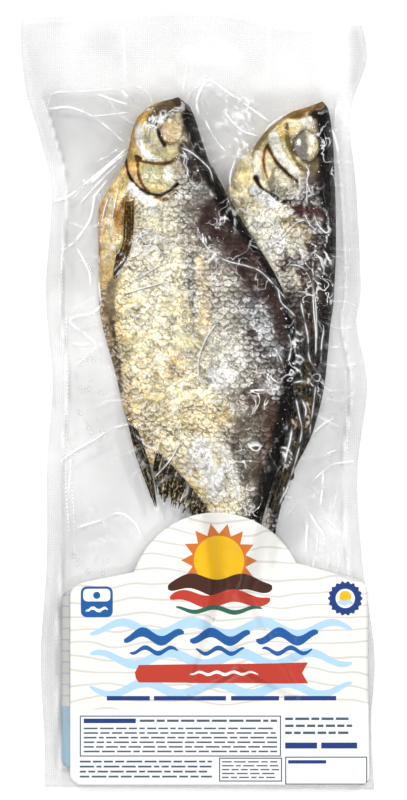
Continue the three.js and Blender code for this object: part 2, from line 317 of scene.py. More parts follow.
def eyeMaterial():
    # A dried fish eye: a hard clouded lens under a shiny skin.
    material, tree, place = startMaterial("cloudedEye")
    tint = addNode(tree, "ShaderNodeAttribute", {"attribute_name": "eyeTint"})
    cloud = addNode(tree, "ShaderNodeTexNoise", {"Scale": perMillimetre(1.4), "Detail": 4, "Distortion": 1.2},
                    {"Vector": place})
    shade = addNode(tree, "ShaderNodeMapRange",
                    {"From Min": 0.3, "From Max": 0.7, "To Min": 0.6, "To Max": 1.2}, {"Value": cloud})
    tone = addNode(tree, "ShaderNodeMix", {"data_type": "RGBA", "blend_type": "MULTIPLY", "Factor": 1.0},
                   {6: tint, 7: shade})
    bump = addNode(tree, "ShaderNodeBump", {"Strength": 0.4, "Distance": 0.3 * mm}, {"Height": cloud})
    shader = addNode(tree, "ShaderNodeBsdfPrincipled", {"Roughness": 0.18, "IOR": 1.4},
                     {"Base Color": tone.outputs[2], "Normal": bump})
    addNode(tree, "ShaderNodeOutputMaterial", {}, {"Surface": shader})
    return material


def clearFilmMaterial():
    # Heat-sealed polyamide and polyethylene film: clear and glossy and whitened where it is embossed. Along
    # its creases it carries painted highlights, partly stress whitening, and painted shade.
    material, tree, place = startMaterial("clearPouchFilm")
    haze, emboss, cling, fold = [addNode(tree, "ShaderNodeAttribute", {"attribute_name": name})
                                 for name in ("haze", "emboss", "cling", "fold")]
    # The welds are embossed with a fine diamond mesh, drawn a little coarser than the real one so it shows.
    mesh = {"Rotation": (0, 0, math.radians(45)), "Scale": [2 * math.pi * perMillimetre(1.3)] * 3}
    turned = addNode(tree, "ShaderNodeMapping", mesh, {"Vector": place})
    axes = addNode(tree, "ShaderNodeSeparateXYZ", {}, {0: turned})
    sines = [addNode(tree, "ShaderNodeMath", {"operation": "SINE"}, {0: axes.outputs[i]}) for i in (0, 1)]
    diamond = addNode(tree, "ShaderNodeMath", {"operation": "MULTIPLY"}, {0: sines[0], 1: sines[1]})
    diamonds = addNode(tree, "ShaderNodeMath", {"operation": "MULTIPLY"},
                       {0: diamond, 1: emboss.outputs["Fac"]})
    crinkle = addNode(tree, "ShaderNodeMath", {"operation": "ADD"},
                      {0: noiseLines(tree, place, 9.0, 0.035, 1.0),
                       1: noiseLines(tree, place, 3.6, 0.06, 0.35)})
    crinkled = addNode(tree, "ShaderNodeMath", {"operation": "MULTIPLY"},
                       {0: crinkle, 1: cling.outputs["Fac"]})
    coarse = addNode(tree, "ShaderNodeBump", {"Strength": 1.0, "Distance": 0.4 * mm}, {"Height": crinkled})
    fine = addNode(tree, "ShaderNodeBump", {"Strength": 0.5, "Distance": 0.06 * mm},
                   {"Height": diamonds, "Normal": coarse})
    # The fold value greys what shows through the film: its own grey, with painted shade on wrinkle flanks and
    # along the weld.
    meshed = addNode(tree, "ShaderNodeMath", {"operation": "MULTIPLY_ADD", 1: 0.04},
                     {0: diamonds, 2: fold.outputs["Fac"]})
    tintAndPaintedShade = addNode(tree, "ShaderNodeMix",
                     {"data_type": "RGBA", 6: hexColour("#FFFFFF"), 7: hexColour("#2A2826")},
                     {"Factor": meshed})
    clear = addNode(tree, "ShaderNodeBsdfTransparent", {}, {"Color": tintAndPaintedShade.outputs[2]})
    white = addNode(tree, "ShaderNodeBsdfDiffuse", {"Color": hexColour("#FDFDFD")}, {"Normal": fine})
    gloss = addNode(tree, "ShaderNodeBsdfGlossy", {"Color": (1, 1, 1, 1), "Roughness": 0.06},
                    {"Normal": fine})
    # Painted highlights: fine white lines over the fish where the film clings, added to the haze, which also
    # carries the crests' painted highlights.
    spread = addNode(tree, "ShaderNodeTexNoise", {"Scale": perMillimetre(13), "Detail": 1}, {"Vector": place})
    gate = addNode(tree, "ShaderNodeMapRange", {"From Min": 0.48, "From Max": 0.6}, {"Value": spread})
    highlightLinesHere = addNode(tree, "ShaderNodeMath", {"operation": "MULTIPLY"}, {0: gate, 1: cling.outputs["Fac"]})
    hazeAndHighlight = addNode(tree, "ShaderNodeMath", {"operation": "MULTIPLY_ADD"},
                       {0: noiseLines(tree, place, 8.0, 0.028, 0.9), 1: highlightLinesHere, 2: haze.outputs["Fac"]})
    body = addNode(tree, "ShaderNodeMixShader", {}, {0: hazeAndHighlight, 1: clear, 2: white})
    facing = addNode(tree, "ShaderNodeLayerWeight", {"Blend": 0.5}, {"Normal": fine})
    grazing = addNode(tree, "ShaderNodeMath", {"operation": "POWER", 1: 5.0}, {0: facing.outputs["Facing"]})
    straight = addNode(tree, "ShaderNodeMapRange",
                       {"To Min": 0.006, "To Max": 0.02}, {"Value": cling.outputs["Fac"]})
    mirror = addNode(tree, "ShaderNodeMath", {"operation": "MULTIPLY_ADD", 1: 0.14},
                     {0: grazing, 2: straight})
    shader = addNode(tree, "ShaderNodeMixShader", {}, {0: mirror, 1: body, 2: gloss})
    addNode(tree, "ShaderNodeOutputMaterial", {}, {"Surface": shader})
    return material


def printedLabelMaterial(name, lineColour, pitch, wave):
    # Offset-printed self-adhesive paper with a satin varnish: flat inks and a pattern of fine lines.
    material, tree, place = startMaterial(name)
    ink = addNode(tree, "ShaderNodeAttribute", {"attribute_name": "ink"})
    bands = {"wave_type": "BANDS", "bands_direction": "Y", "Scale": perMillimetre(pitch) / 20 * 3.0,
             "Distortion": wave, "Detail": 1.0, "Detail Scale": 0.6}
    lines = addNode(tree, "ShaderNodeTexWave", bands, {"Vector": place})
    thin = addNode(tree, "ShaderNodeMapRange", {"From Min": 0.92, "From Max": 0.99, "To Max": 0.55},
                   {"Value": lines.outputs["Fac"]})
    masked = addNode(tree, "ShaderNodeMath", {"operation": "MULTIPLY"}, {0: thin, 1: ink.outputs["Alpha"]})
    tone = addNode(tree, "ShaderNodeMix", {"data_type": "RGBA", 7: hexColour(lineColour)},
                   {"Factor": masked, 6: ink})
    fibre = addNode(tree, "ShaderNodeTexNoise", {"Scale": perMillimetre(0.8), "Detail": 3}, {"Vector": place})
    bump = addNode(tree, "ShaderNodeBump", {"Strength": 0.15, "Distance": 0.05 * mm}, {"Height": fibre})
    shader = addNode(tree, "ShaderNodeBsdfPrincipled", {"Roughness": 0.38, "IOR": 1.45},
                     {"Base Color": tone.outputs[2], "Normal": bump})
    addNode(tree, "ShaderNodeOutputMaterial", {}, {"Surface": shader})
    return material


# The pouch and what it holds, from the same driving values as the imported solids.

pouch = {
    "top": [[-79.2, 171], [-35, 173.8], [-3, 175.4], [19, 172.9], [41.5, 168], [74, 168]],
    "right": [[74, 168], [75.9, 152], [68.4, 127], [71.2, 94], [73.2, 50], [71.3, 33.4], [76, 6], [71.9, -32],
              [73.9, -72], [79.4, -115], [77.9, -145], [79.2, -175.4]],
    "left": [[-68.7, -174.2], [-68.8, -155], [-70.5, -115], [-67.8, -72], [-67.6, -27], [-65.2, 8],
             [-68.2, 47], [-65.7, 92], [-71, 117.6], [-77.3, 139], [-79.5, 160], [-79.2, 171]],
    "restHeight": 3.4, "borderLift": 2.6, "pull": 0.25,
}
hangSlot = {"x": 5.7, "y": 155.8, "width": 24.8, "height": 5.8, "arch": 0.5, "notchX": 3.3,
            "notchRadius": 2.2}
film = {"pitch": 0.72, "across": 233, "along": 501, "halfGap": 0.12, "clearance": 0.3, "underLabel": 0.45,
        "leastHeight": 0.03, "leastGap": 0.02}
frontFish = {
    "belly": [[135.4, -8.7], [132, -20.5], [124, -28.2], [107, -32.5], [83, -44.6], [45, -44.4],
              [13, -37.4], [-25, -26], [-38, -7], [-54, 4.5], [-88, 10.5]],
    "back": [[135.4, -8.7], [131, -3.5], [112, 3.3], [85, 16.8], [45, 39.3], [20, 45.3], [-5, 41.5],
             [-54, 28.9], [-88, 19.5]],
    "thickness": [[135.4, 7], [115, 21], [60, 22], [-5, 18], [-54, 10], [-88, 6]],
    "bellyShare": [[135.4, 1], [105, 0.9], [70, 0.5], [-20, 0.55], [-60, 1]],
    "bellyMiddle": [[135.4, 9], [100, 6], [60, 0.8], [15, 0.8], [-20, 5], [-88, 7.5]],
    "backMiddle": [[135.4, 9], [110, 11.5], [70, 22], [20, 28], [-20, 24], [-54, 15], [-88, 9]],
    "tones": [[0, "#A87C34"], [0.06, "#C2A055"], [0.16, "#D6BF7C"], [0.32, "#E4D6A2"], [0.5, "#D8CB9A"],
              [0.62, "#918874"], [0.78, "#6E675F"], [0.88, "#352C27"], [0.94, "#0F0C0A"], [1, "#090706"]],
    "tail": {"length": 45, "spread": 48, "fork": 14, "lean": 0.12},
    "headEnd": 100, "seed": 3, "rows": 450, "across": 198, "under": 22,
}
rearFish = {
    "belly": [[133.6, 56], [131, 49], [128.8, 42], [125, 36.5], [119, 29.4], [113, 25], [108, 19.5],
              [100, 15.5], [90, 11], [60, -8], [35, -10], [10, -4], [-33, 14], [-52, 20], [-75, 23]],
    "back": [[133.6, 56], [130, 58.6], [112, 60.9], [72, 62], [45, 61], [31, 59.2], [9, 57.2], [-14, 51.9],
             [-36, 41.5], [-54, 36], [-75, 33]],
    "thickness": [[133.6, 7], [112, 22], [60, 22], [-12, 16], [-52, 9], [-75, 5]],
    "bellyShare": [[133.6, 1], [108, 0.9], [75, 0.38], [-12, 0.45], [-60, 1]],
    "bellyMiddle": [[133.6, 8], [100, 7], [60, 3.9], [-52, 4.4], [-75, 4.6]],
    "backMiddle": [[133.6, 8], [100, 10.6], [60, 10.6], [-12, 8.2], [-75, 4.6]],
    "tones": [[0, "#BC9450"], [0.12, "#D6C084"], [0.3, "#E2DBBC"], [0.5, "#D6D1BE"], [0.66, "#A09788"],
              [0.78, "#544A43"], [0.86, "#1E1815"], [1, "#0E0B0A"]],
    "tail": {"length": 42, "spread": 44, "fork": 13, "lean": -0.1},
    "headEnd": 94, "seed": 8, "rows": 400, "across": 160, "under": 22,
}
skin = {
    "tipLength": 7, "gap": 0.3, "leastUnderside": 0.25, "leastThickness": 0.3,
    "wrinkle": 0.3, "wrinkleSize": 4, "driftSize": 15,
    # The crease tone is painted shade for the creases' grooves.
    "crease": 0.22, "creaseSize": 6, "creaseShadeTone": "#7C6340",
    "scaleSize": 4.6, "scaleRelief": 0.25, "warpSize": 6, "fadingSize": 9,
    "edgeTone": "#57422A", "silverRim": "#D9DCE2", "paleRim": "#FFFFF8",
}



def skinMark(tone, share, reach, *at, **more):
    return {"tone": tone, "share": share, "reach": reach, "at": at, **more}


# Marks on the skin, each with its tone, how far it covers, its reach and its places. Places and reaches are
# pixels of the photograph. Calm is how far scales are left out there, and raised is in millimetres.
frontMarks = [
    skinMark("#F0CC78", 0.95, 15, (116, 178), (108, 205), (105, 240), (107, 275), calm=0.7),
    skinMark("#B9732A", 0.6, 3, (102, 202), (99, 225), (99, 262)),
    skinMark("#B8741F", 0.9, 6, (117, 212), (122, 228), calm=0.6),
    skinMark("#F8EBC4", 0.6, 3.5, (112, 200), (110, 245), (107, 262)),
    skinMark("#A88B3C", 0.8, 4, (133, 202), (136, 222), (134, 244)),
    skinMark("#7A521E", 0.9, 7, (126, 204), (129, 226), (126, 252), calm=0.7),
    skinMark("#857458", 0.9, 6, (118, 276), (112, 290), (110, 312), calm=0.9),
    skinMark("#4F3B28", 0.85, 4, (109, 318), (113, 334), calm=0.6),
    skinMark("#8C6F40", 0.85, 4, (105, 300), (107, 330), (112, 360), (119, 392), raised=0.3),
    skinMark("#3C2E1C", 0.85, 2.4, (113, 322), (118, 360), (121, 390), raised=-0.25),
    skinMark("#E9E2C2", 0.7, (34, 62), (150, 262)),
    skinMark("#E6D9A6", 0.7, (34, 44), (152, 350)),
    skinMark("#BF8F40", 0.6, (14, 16), (176, 366)),
    skinMark("#BEA25A", 0.75, (34, 20), (205, 415)),
    skinMark("#A8955A", 0.7, (26, 22), (156, 424)),
    skinMark("#CDB676", 0.8, (18, 20), (213, 500)),
    skinMark("#797163", 0.7, 8, (186, 208), (187, 250), (192, 290)),
    skinMark("#BFA468", 0.6, 6, (200, 262), (204, 300), (206, 330)),
    skinMark("#5E5C59", 0.7, 4, (192, 262), (191, 300), (196, 318), raised=-0.2),
    skinMark("#6C6963", 0.9, (20, 14), (203, 193)),
    skinMark("#777A80", 0.9, 22, (254, 306), (262, 328), (268, 350), edge=0.8),
    skinMark("#948D7B", 0.6, 14, (230, 290), (226, 320), edge=0.8),
    skinMark("#30221E", 0.95, 23, (214, 222), (240, 252), (262, 284), calm=0.8, edge=0.75),
    skinMark("#332521", 0.92, 12, (262, 272), (276, 306), (283, 336), calm=0.8, edge=0.9),
    skinMark("#0C0806", 0.97, 9, (202, 150), (214, 180), (232, 214), (258, 250), (282, 290), (294, 330),
             (296, 360), calm=0.95),
    skinMark("#35261F", 0.7, 7, (250, 334), (259, 352), (270, 368), edge=0.95),
    skinMark("#B4B2A6", 0.9, (23, 30), (226, 362), turn=8, raised=0.5),
    skinMark("#FFFFFF", 0.85, (15, 12), (222, 376)),
    skinMark("#F2F4F8", 0.7, 4, (236, 350), (244, 364)),
    skinMark("#9C9EA2", 0.8, (14, 9), (270, 388)),
    skinMark("#544B3F", 0.9, (24, 52), (252, 442), turn=-14, calm=0.55),
    skinMark("#6F6A60", 0.7, (10, 26), (242, 456), turn=-16),
    skinMark("#4B382E", 0.85, 13, (252, 398), (266, 408), (272, 436), (264, 466), calm=0.5, edge=0.9),
    skinMark("#0A0705", 0.97, 11, (296, 350), (289, 400), (279, 445), (266, 492), (258, 525), calm=0.85),
    # Painted highlights: the white glare of the film's fan of folds, laid on the skin under it.
    skinMark("#F4F3EC", 0.85, 11, (196, 446), (208, 466), (218, 492)),
    skinMark("#EDEBE2", 0.8, 6, (224, 448), (232, 470), (236, 494)),
    # the head
    skinMark("#A59B7C", 0.9, (34, 48), (165, 140)),
    skinMark("#4E3E24", 0.95, 11, (150, 116), (166, 109), (178, 102)),
    skinMark("#33281A", 0.95, 6, (178, 102), (186, 114), (190, 126)),
    skinMark("#15100D", 0.98, 10, (190, 122), (198, 145), (206, 168), calm=0.9),
    skinMark("#2A201B", 0.92, 8, (184, 150), (190, 166), (196, 180), calm=0.6),
    skinMark("#B08238", 0.95, 3.6, (143, 115), (134, 128), (129, 143), (126, 162), (129, 176), calm=0.5,
             raised=0.3),
    skinMark("#D9B25C", 0.85, 3.2, (150, 112), (143, 124), (138, 136)),
    skinMark("#CFCFC6", 0.95, 5, (140, 130), (140, 142), (144, 153), (152, 160), (160, 163), raised=0.5,
             calm=0.3),
    skinMark("#F0F0EE", 0.9, 3.2, (140, 144), (144, 153), (150, 158), calm=0.3),
    skinMark("#2A1C12", 0.9, 2, (137, 158), (141, 160)),
    skinMark("#A8A282", 0.85, (7, 12), (153, 142)),
    skinMark("#B9AF82", 0.9, (13, 7), (168, 156)),
    skinMark("#D9D6C8", 0.85, 3.4, (146, 126), (152, 128), (158, 124)),
    skinMark("#C9C4B2", 0.8, 2.4, (154, 121), (162, 118), (172, 116)),
    skinMark("#1E1812", 0.9, 1.5, (156, 127), (160, 121), (168, 119), raised=-0.4),
    skinMark("#B3AB7C", 0.97, (19, 16.5), (156.5, 179), turn=-10, raised=1.0, edge=0.12, calm=0.6),
    skinMark("#A5A283", 0.75, (8, 7), (152, 174)),
    skinMark("#DCC470", 0.7, 4, (150, 190), (164, 190)),
    skinMark("#FFFDF0", 0.85, (6, 9), (169, 176)),
    skinMark("#6B3410", 0.95, 2.2, (138, 164), (139, 176), (143, 187), (148, 193), raised=-0.2),
    skinMark("#C69A64", 0.9, 3.2, (131, 166), (134, 180), (141, 190), raised=0.3, calm=0.5),
    skinMark("#5A3818", 0.95, 1.8, (137, 161), (146, 164), (160, 166), (171, 164), (181, 158), raised=-0.7),
    skinMark("#1A110A", 0.95, 1.8, (126, 160), (129, 175), (138, 188), (148, 194.5), (160, 197), (171, 192),
             (178, 186), raised=-1.1),
    skinMark("#F0F3F6", 0.97, 4.6, (132, 188), (142, 199), (153, 205), raised=0.8, edge=0.25, calm=0.6),
    skinMark("#5E3E20", 0.85, 2.4, (158, 199), (166, 201), (176, 193)),
    skinMark("#FBFAF0", 0.8, (9, 4), (152, 214), turn=8),
    skinMark("#7A7054", 0.8, (14, 16), (172, 134), raised=-1.0, edge=0.4),
    skinMark("#1E1712", 0.92, 2.4, (159, 133), (160.5, 140), (165, 147)),
    skinMark("#B9B493", 0.8, 2.2, (155, 130), (156, 141), (161, 151)),
]

rearMarks = [
    skinMark("#40322D", 0.9, 22, (300, 236), (312, 290), (318, 340), calm=0.3),
    skinMark("#D2CEBB", 0.92, 16, (262, 224), (274, 240), (282, 250)),
    skinMark("#A8966A", 0.85, 12, (290, 228), (300, 236)),
    skinMark("#3E2D24", 0.88, 12, (284, 266), (298, 274), (308, 300), edge=0.8),
    skinMark("#B0AA92", 0.85, 7, (290, 274), (295, 284), (298, 298)),
    skinMark("#DCDAD0", 0.7, 5, (296, 236), (304, 256)),
    skinMark("#8D897E", 0.8, 7, (320, 206), (318, 222)),
    skinMark("#2C211B", 0.92, 15, (296, 300), (308, 340), (312, 400), (300, 460), (290, 510), calm=0.6),
    skinMark("#14100D", 0.97, 10, (322, 110), (330, 150), (331, 215), (329, 280), (325, 335), (320, 400),
             (306, 460), calm=0.6),
    skinMark("#DFD0A0", 0.97, 12, (248, 156), (237, 172), (242, 194), calm=0.5),
    skinMark("#BCAE80", 0.85, (14, 12), (250, 208)),
    skinMark("#3E221B", 0.95, 6, (296, 209), (306, 214), (318, 214), calm=0.6),
    skinMark("#8E7B50", 0.8, (11, 8), (292, 225)),
    skinMark("#F4F4F0", 0.7, (8, 8), (279, 242)),
    skinMark("#BDB287", 0.9, (32, 46), (285, 150), turn=-25),
    skinMark("#6B5023", 0.95, 8, (294, 116), (306, 110), (318, 107)),
    skinMark("#241C13", 0.95, 6, (312, 117), (320, 118), (323, 130)),
    skinMark("#C7A64E", 0.8, (9, 10), (284, 131)),
    skinMark("#F0EDE0", 0.9, 3.5, (303, 124), (309, 121), raised=0.4),
    skinMark("#8A6C34", 0.9, 3.2, (312, 106), (291, 115), (279, 123), (267, 133), (258, 145), (254, 157),
             raised=0.3, calm=0.5),
    skinMark("#E4DECA", 0.95, 4.2, (257, 156), (256, 168), (258, 180), raised=0.5, edge=0.3, calm=0.5),
    skinMark("#7C451A", 0.95, 1.6, (265, 150), (263, 164), (267, 180), raised=-0.4),
    skinMark("#827C64", 0.97, (15, 16), (282, 184), turn=14, raised=1.0, edge=0.12, calm=0.6),
    skinMark("#DDD7BE", 0.7, 6, (278, 176), (286, 186)),
    skinMark("#EFEDE2", 0.92, 5, (273, 138), (277, 152), (285, 165), (295, 176), raised=0.5, edge=0.3,
             calm=0.5),
    skinMark("#43280F", 0.95, 1.9, (267, 148), (275, 163), (285, 174), (297, 184), raised=-0.7),
    skinMark("#5E4C25", 0.85, 2.6, (286, 126), (287, 142), (292, 158), (300, 170), (310, 172), raised=-0.3),
    skinMark("#7C6E4C", 0.6, 3.4, (302, 170), (309, 176), (316, 168)),
    skinMark("#1A110C", 0.97, 2.6, (255, 179), (262, 191), (275, 200), (288, 204), (301, 200), raised=-1.1),
    skinMark("#EDEEF0", 0.97, 5.5, (254, 192), (263, 199), (273, 206), raised=0.7, edge=0.25),
    skinMark("#F3EED6", 0.85, (6, 5), (296, 194)),
    skinMark("#4E442F", 0.85, (16.5, 19), (305.5, 149), raised=-1.0, edge=0.4),
    skinMark("#0B0908", 0.98, 10, (323, 120), (328, 150), (329, 204), calm=0.8),
]


def readyFish(fish, marks):
    keys = ("belly", "back", "thickness", "bellyShare", "bellyMiddle", "backMiddle")
    fish["lines"] = {key: smoothLine(fish[key]) for key in keys}
    fish["snout"], fish["root"] = fish["belly"][0][0], fish["belly"][-1][0]
    for mark in marks:
        mark["places"] = fromPhoto(mark["at"])
        if len(mark["at"]) > 1:
            mark["places"] = curveThrough(mark["places"], 1.0)
        mark["radii"] = np.array(mark["reach"]) * photo["scale"] * np.ones(2)
    fish["marks"] = marks


def markWeight(mark, x, y, ragged):  # 1 on the mark and 0 off it, with an uneven edge
    weight = np.zeros(x.shape)
    margin = 1.5 * mark["radii"].max() + 1
    low, high = mark["places"].min(axis=0) - margin, mark["places"].max(axis=0) + margin
    near = (x > low[0]) & (x < high[0]) & (y > low[1]) & (y < high[1])
    nx, ny = x[near], y[near]
    turn = math.radians(mark.get("turn", 0))
    nearest = np.full(nx.shape, 9.0)
    for px, py in mark["places"]:
        dx, dy = nx - px, ny - py
        along = dx * math.cos(turn) + dy * math.sin(turn)
        across = dy * math.cos(turn) - dx * math.sin(turn)
        nearest = np.minimum(nearest, np.hypot(along / mark["radii"][0], across / mark["radii"][1]))
    edge = mark.get("edge", 0.5)
    uneven = 0.25 * min(1.0, edge / 0.3) * ragged[near]
    weight[near] = 1 - smoothStep(nearest + uneven, 1 - edge, 1 + edge * 0.4)
    return weight


def fishHeights(fish, x, y):  # the plain form: top, underside, share across, and where the fish is
    at = {key: line(y) for key, line in fish["lines"].items()}
    share = (x - at["belly"]) / np.maximum(at["back"] - at["belly"], 1e-6)
    inside = (share >= 0) & (share <= 1) & (y <= fish["snout"]) & (y >= fish["root"])
    share = np.clip(share, 0, 1)
    roundness = (1 - np.abs(2 * share - 1) ** 2.6) ** 0.55  # a full oval, a little squarer than an ellipse
    fullness = mix(at["bellyShare"], 1, smoothStep(share, 0.05, 0.62))
    fromTip = np.clip((y - fish["snout"] + skin["tipLength"]) / skin["tipLength"], 0, 1)
    half = at["thickness"] / 2 * roundness * fullness * np.sqrt(1 - fromTip ** 2)
    middle = mix(at["bellyMiddle"], at["backMiddle"], share)
    return middle + half, middle - half, share, inside


def rimFade(share):  # 0 at the belly and back lines and 1 inside them
    return smoothStep(share, 0, 0.03) * smoothStep(1 - share, 0, 0.03)


def scalePattern(x, y, wide, seed):  # scales that each lie over the next one towards the tail
    row, reach = 0.52 * wide, 0.64 * wide
    u, v = x / wide, -y / row
    shifts = np.random.default_rng(seed).uniform(-0.12, 0.12, (256, 256, 2))
    chances = np.random.default_rng(seed + 1).uniform(0, 1, (256, 256))
    covered = np.zeros(x.shape, bool)
    tilt, fromEdge, chance = np.zeros(x.shape), np.zeros(x.shape), np.zeros(x.shape)
    for back in (-2, -1, 0, 1):
        i = np.floor(v).astype(int) + back
        for side in (0, 1):
            j = np.floor(u - 0.5 * (i % 2)).astype(int) + side
            du = (u - 0.5 * (i % 2) - j - shifts[i % 256, j % 256, 0]) * wide
            dv = (v - i - shifts[i % 256, j % 256, 1]) * row
            apart = np.hypot(du, dv)
            hit = (apart < reach) & ~covered
            covered |= hit
            tilt[hit] = dv[hit] / reach
            fromEdge[hit] = reach - apart[hit]
            chance[hit] = chances[i % 256, j % 256][hit]
    return tilt, fromEdge, chance


def skinLook(fish, x, y, share, marked=True):  # colour with the share of near-white flecks, painted glints partly silver on the scales, and relief in mm
    seed = fish["seed"]
    ragged = roughField(x, y, skin["wrinkleSize"], seed + 1)
    drift = roughField(x, y, skin["driftSize"], seed + 2)
    spot = share + 0.05 * drift + 0.03 * ragged
    stops = [place for place, _ in fish["tones"]]
    tones = np.array([hexTriple(code) for _, code in fish["tones"]])
    colour = np.stack([np.interp(spot, stops, tone) for tone in tones.T], 1)
    relief = skin["wrinkle"] * ragged
    calm = smoothStep(y, fish["headEnd"] - 2, fish["headEnd"] + 4)
    for mark in fish["marks"] if marked else []:
        weight = markWeight(mark, x, y, ragged)
        colour = mix(colour, hexTriple(mark["tone"]), (weight * mark["share"])[:, None])
        relief += mark.get("raised", 0) * weight
        calm = np.maximum(calm, mark.get("calm", 0) * weight)

    # scales, askew and partly worn away, with dark edges and bright rims
    warp = mix(1.5, 0.9, smoothStep(share, 0.45, 0.62))
    warpX = warp * roughField(x, y, skin["warpSize"], seed + 7)
    warpY = warp * roughField(x, y, skin["warpSize"], seed + 8)
    tilt, fromEdge, chance = scalePattern(x + warpX, y + warpY, skin["scaleSize"], seed + 4)
    scaly = 1 - calm
    edge = (1 - smoothStep(fromEdge, 0.1, 0.75)) * scaly
    rim = smoothStep(fromEdge, 0.35, 0.8) * (1 - smoothStep(fromEdge, 1.0, 2.6)) * scaly
    crease = 1 - smoothStep(np.abs(roughField(x, y, skin["creaseSize"], seed + 5)), 0.0, 0.08)
    pale = smoothStep(colour.mean(axis=1), 0.32, 0.6)
    fading = np.clip(0.8 + 0.7 * roughField(x, y, skin["fadingSize"], seed + 9), 0.25, 1)
    silver = 0.8 * rim * fading * (1 - pale) * (0.2 + 0.8 * chance)
    # Painted shade: the colour is darkened in the creases, which are also grooves in the relief.
    creaseShade = 0.5 * crease * (0.4 + 0.6 * scaly)
    colour = colour * (1 + (0.42 * (chance - 0.5) * scaly + 0.2 * ragged)[:, None])
    colour = mix(colour, colour * hexTriple(skin["edgeTone"]), (mix(0.9, 0.5, pale) * edge * fading)[:, None])
    colour = mix(colour, hexTriple(skin["silverRim"]), silver[:, None])
    colour = mix(colour, hexTriple(skin["paleRim"]), (0.6 * rim * fading * pale)[:, None])
    colour = mix(colour, colour * hexTriple(skin["creaseShadeTone"]), creaseShade[:, None])
    relief += skin["scaleRelief"] * scaly * (tilt - 0.5 * edge) - skin["crease"] * crease
    # The share of near-white flecks that the material paints as glints, partly silver on the scales.
    silverAndGlint = np.clip(scaly * (0.35 + chance), 0, 1) * smoothStep(colour.mean(axis=1), 0.25, 0.65)
    return np.column_stack([np.clip(colour, 0, 1), silverAndGlint]), relief


def fishSurface(fish, x, y):  # the top of the skin with its relief, and where the fish is
    top, _, share, inside = fishHeights(fish, x, y)
    _, relief = skinLook(fish, x, y, share)
    return top + relief * rimFade(share), inside


def ringPiece(name, rings, colours, label, material, sink=0.0):  # rings of points, closed at both ends
    rows, columns = rings.shape[:2]
    index = np.arange(rows * columns).reshape(rows, columns)
    following = np.roll(index, -1, axis=1)
    quads = np.stack([index[:-1], index[1:], following[1:], following[:-1]], -1).reshape(-1, 4)
    first, last = rows * columns, rows * columns + 1
    caps = [[first, a, b] for a, b in zip(index[0], following[0])]
    caps += [[last, b, a] for a, b in zip(index[-1], following[-1])]
    ends = [rings[0].mean(axis=0), rings[-1].mean(axis=0) - (0, 0, sink)]
    piece = makePiece(name, np.vstack([rings.reshape(-1, 3), ends]), quads.tolist() + caps, material)
    colours = colours.reshape(rows * columns, -1)
    addColours(piece.data, label, np.vstack([colours, colours[[0]], colours[[-columns]]]))
    print(name, "triangles", 2 * len(quads) + len(caps))
    return piece


def buildFish(name, fish, material, below=None):
    across, under = fish["across"], fish["under"]
    fromSnout = np.linspace(0, 1, fish["rows"]) ** 1.12  # the rows stand closer together at the snout
    y = mix(fish["snout"] - 0.12, fish["root"], fromSnout)
    overTop = (1 - np.cos(np.linspace(0, math.pi, across))) / 2
    overTop = mix(overTop, np.linspace(0, 1, across), 0.8)
    beneath = (1 + np.cos(np.linspace(0, math.pi, under + 2)[1:-1])) / 2
    share, y = np.meshgrid(np.concatenate([overTop, beneath]), y)
    x = mix(fish["lines"]["belly"](y), fish["lines"]["back"](y), share)
    top, underside, _, _ = fishHeights(fish, x, y)
    look, relief = skinLook(fish, x.ravel(), y.ravel(), share.ravel())
    underLook, underRelief = skinLook(fish, x.ravel() + 300, y.ravel(), share.ravel(), marked=False)
    isTop = np.zeros(x.shape, bool)
    isTop[:, :across] = True
    top = top + relief.reshape(x.shape) * rimFade(share)
    underside = underside - underRelief.reshape(x.shape) * rimFade(share)
    height = np.maximum(np.where(isTop, top, underside), skin["leastUnderside"])
    if below is not None:
        support, onSupport = fishSurface(below, x.ravel(), y.ravel())
        lifted = np.where(onSupport, support + skin["gap"], -9).reshape(x.shape)
        height = np.maximum(height, lifted + skin["leastThickness"] * isTop)
    colours = np.where(isTop.ravel()[:, None], look, underLook)
    return ringPiece(name, np.dstack([x, y, height]), colours, "skinTint", material)


def closedSheet(name, top, underside, material):  # a thin closed piece between two grids of points
    rows, columns = top.shape[:2]
    index = np.arange(rows * columns).reshape(rows, columns)
    quads = np.stack([index[:-1, :-1], index[1:, :-1], index[1:, 1:], index[:-1, 1:]], -1).reshape(-1, 4)
    rim = np.concatenate([index[:, 0], index[-1, 1:], index[-2::-1, -1], index[0, -2:0:-1]])
    nextRim = np.roll(rim, -1)
    shift = rows * columns
    walls = np.stack([nextRim, rim, rim + shift, nextRim + shift], -1)
    faces = np.vstack([quads, quads[:, ::-1] + shift, walls])
    piece = makePiece(name, np.vstack([top.reshape(-1, 3), underside.reshape(-1, 3)]), faces, material)
    u, v = np.meshgrid(np.linspace(0, 1, columns), np.linspace(0, 1, rows))
    uv = np.tile(np.stack([u.ravel(), v.ravel()], 1), (2, 1))
    layer = piece.data.uv_layers.new(name="UVMap")
    layer.data.foreach_set("uv", uv[faces.ravel()].ravel())
    return piece


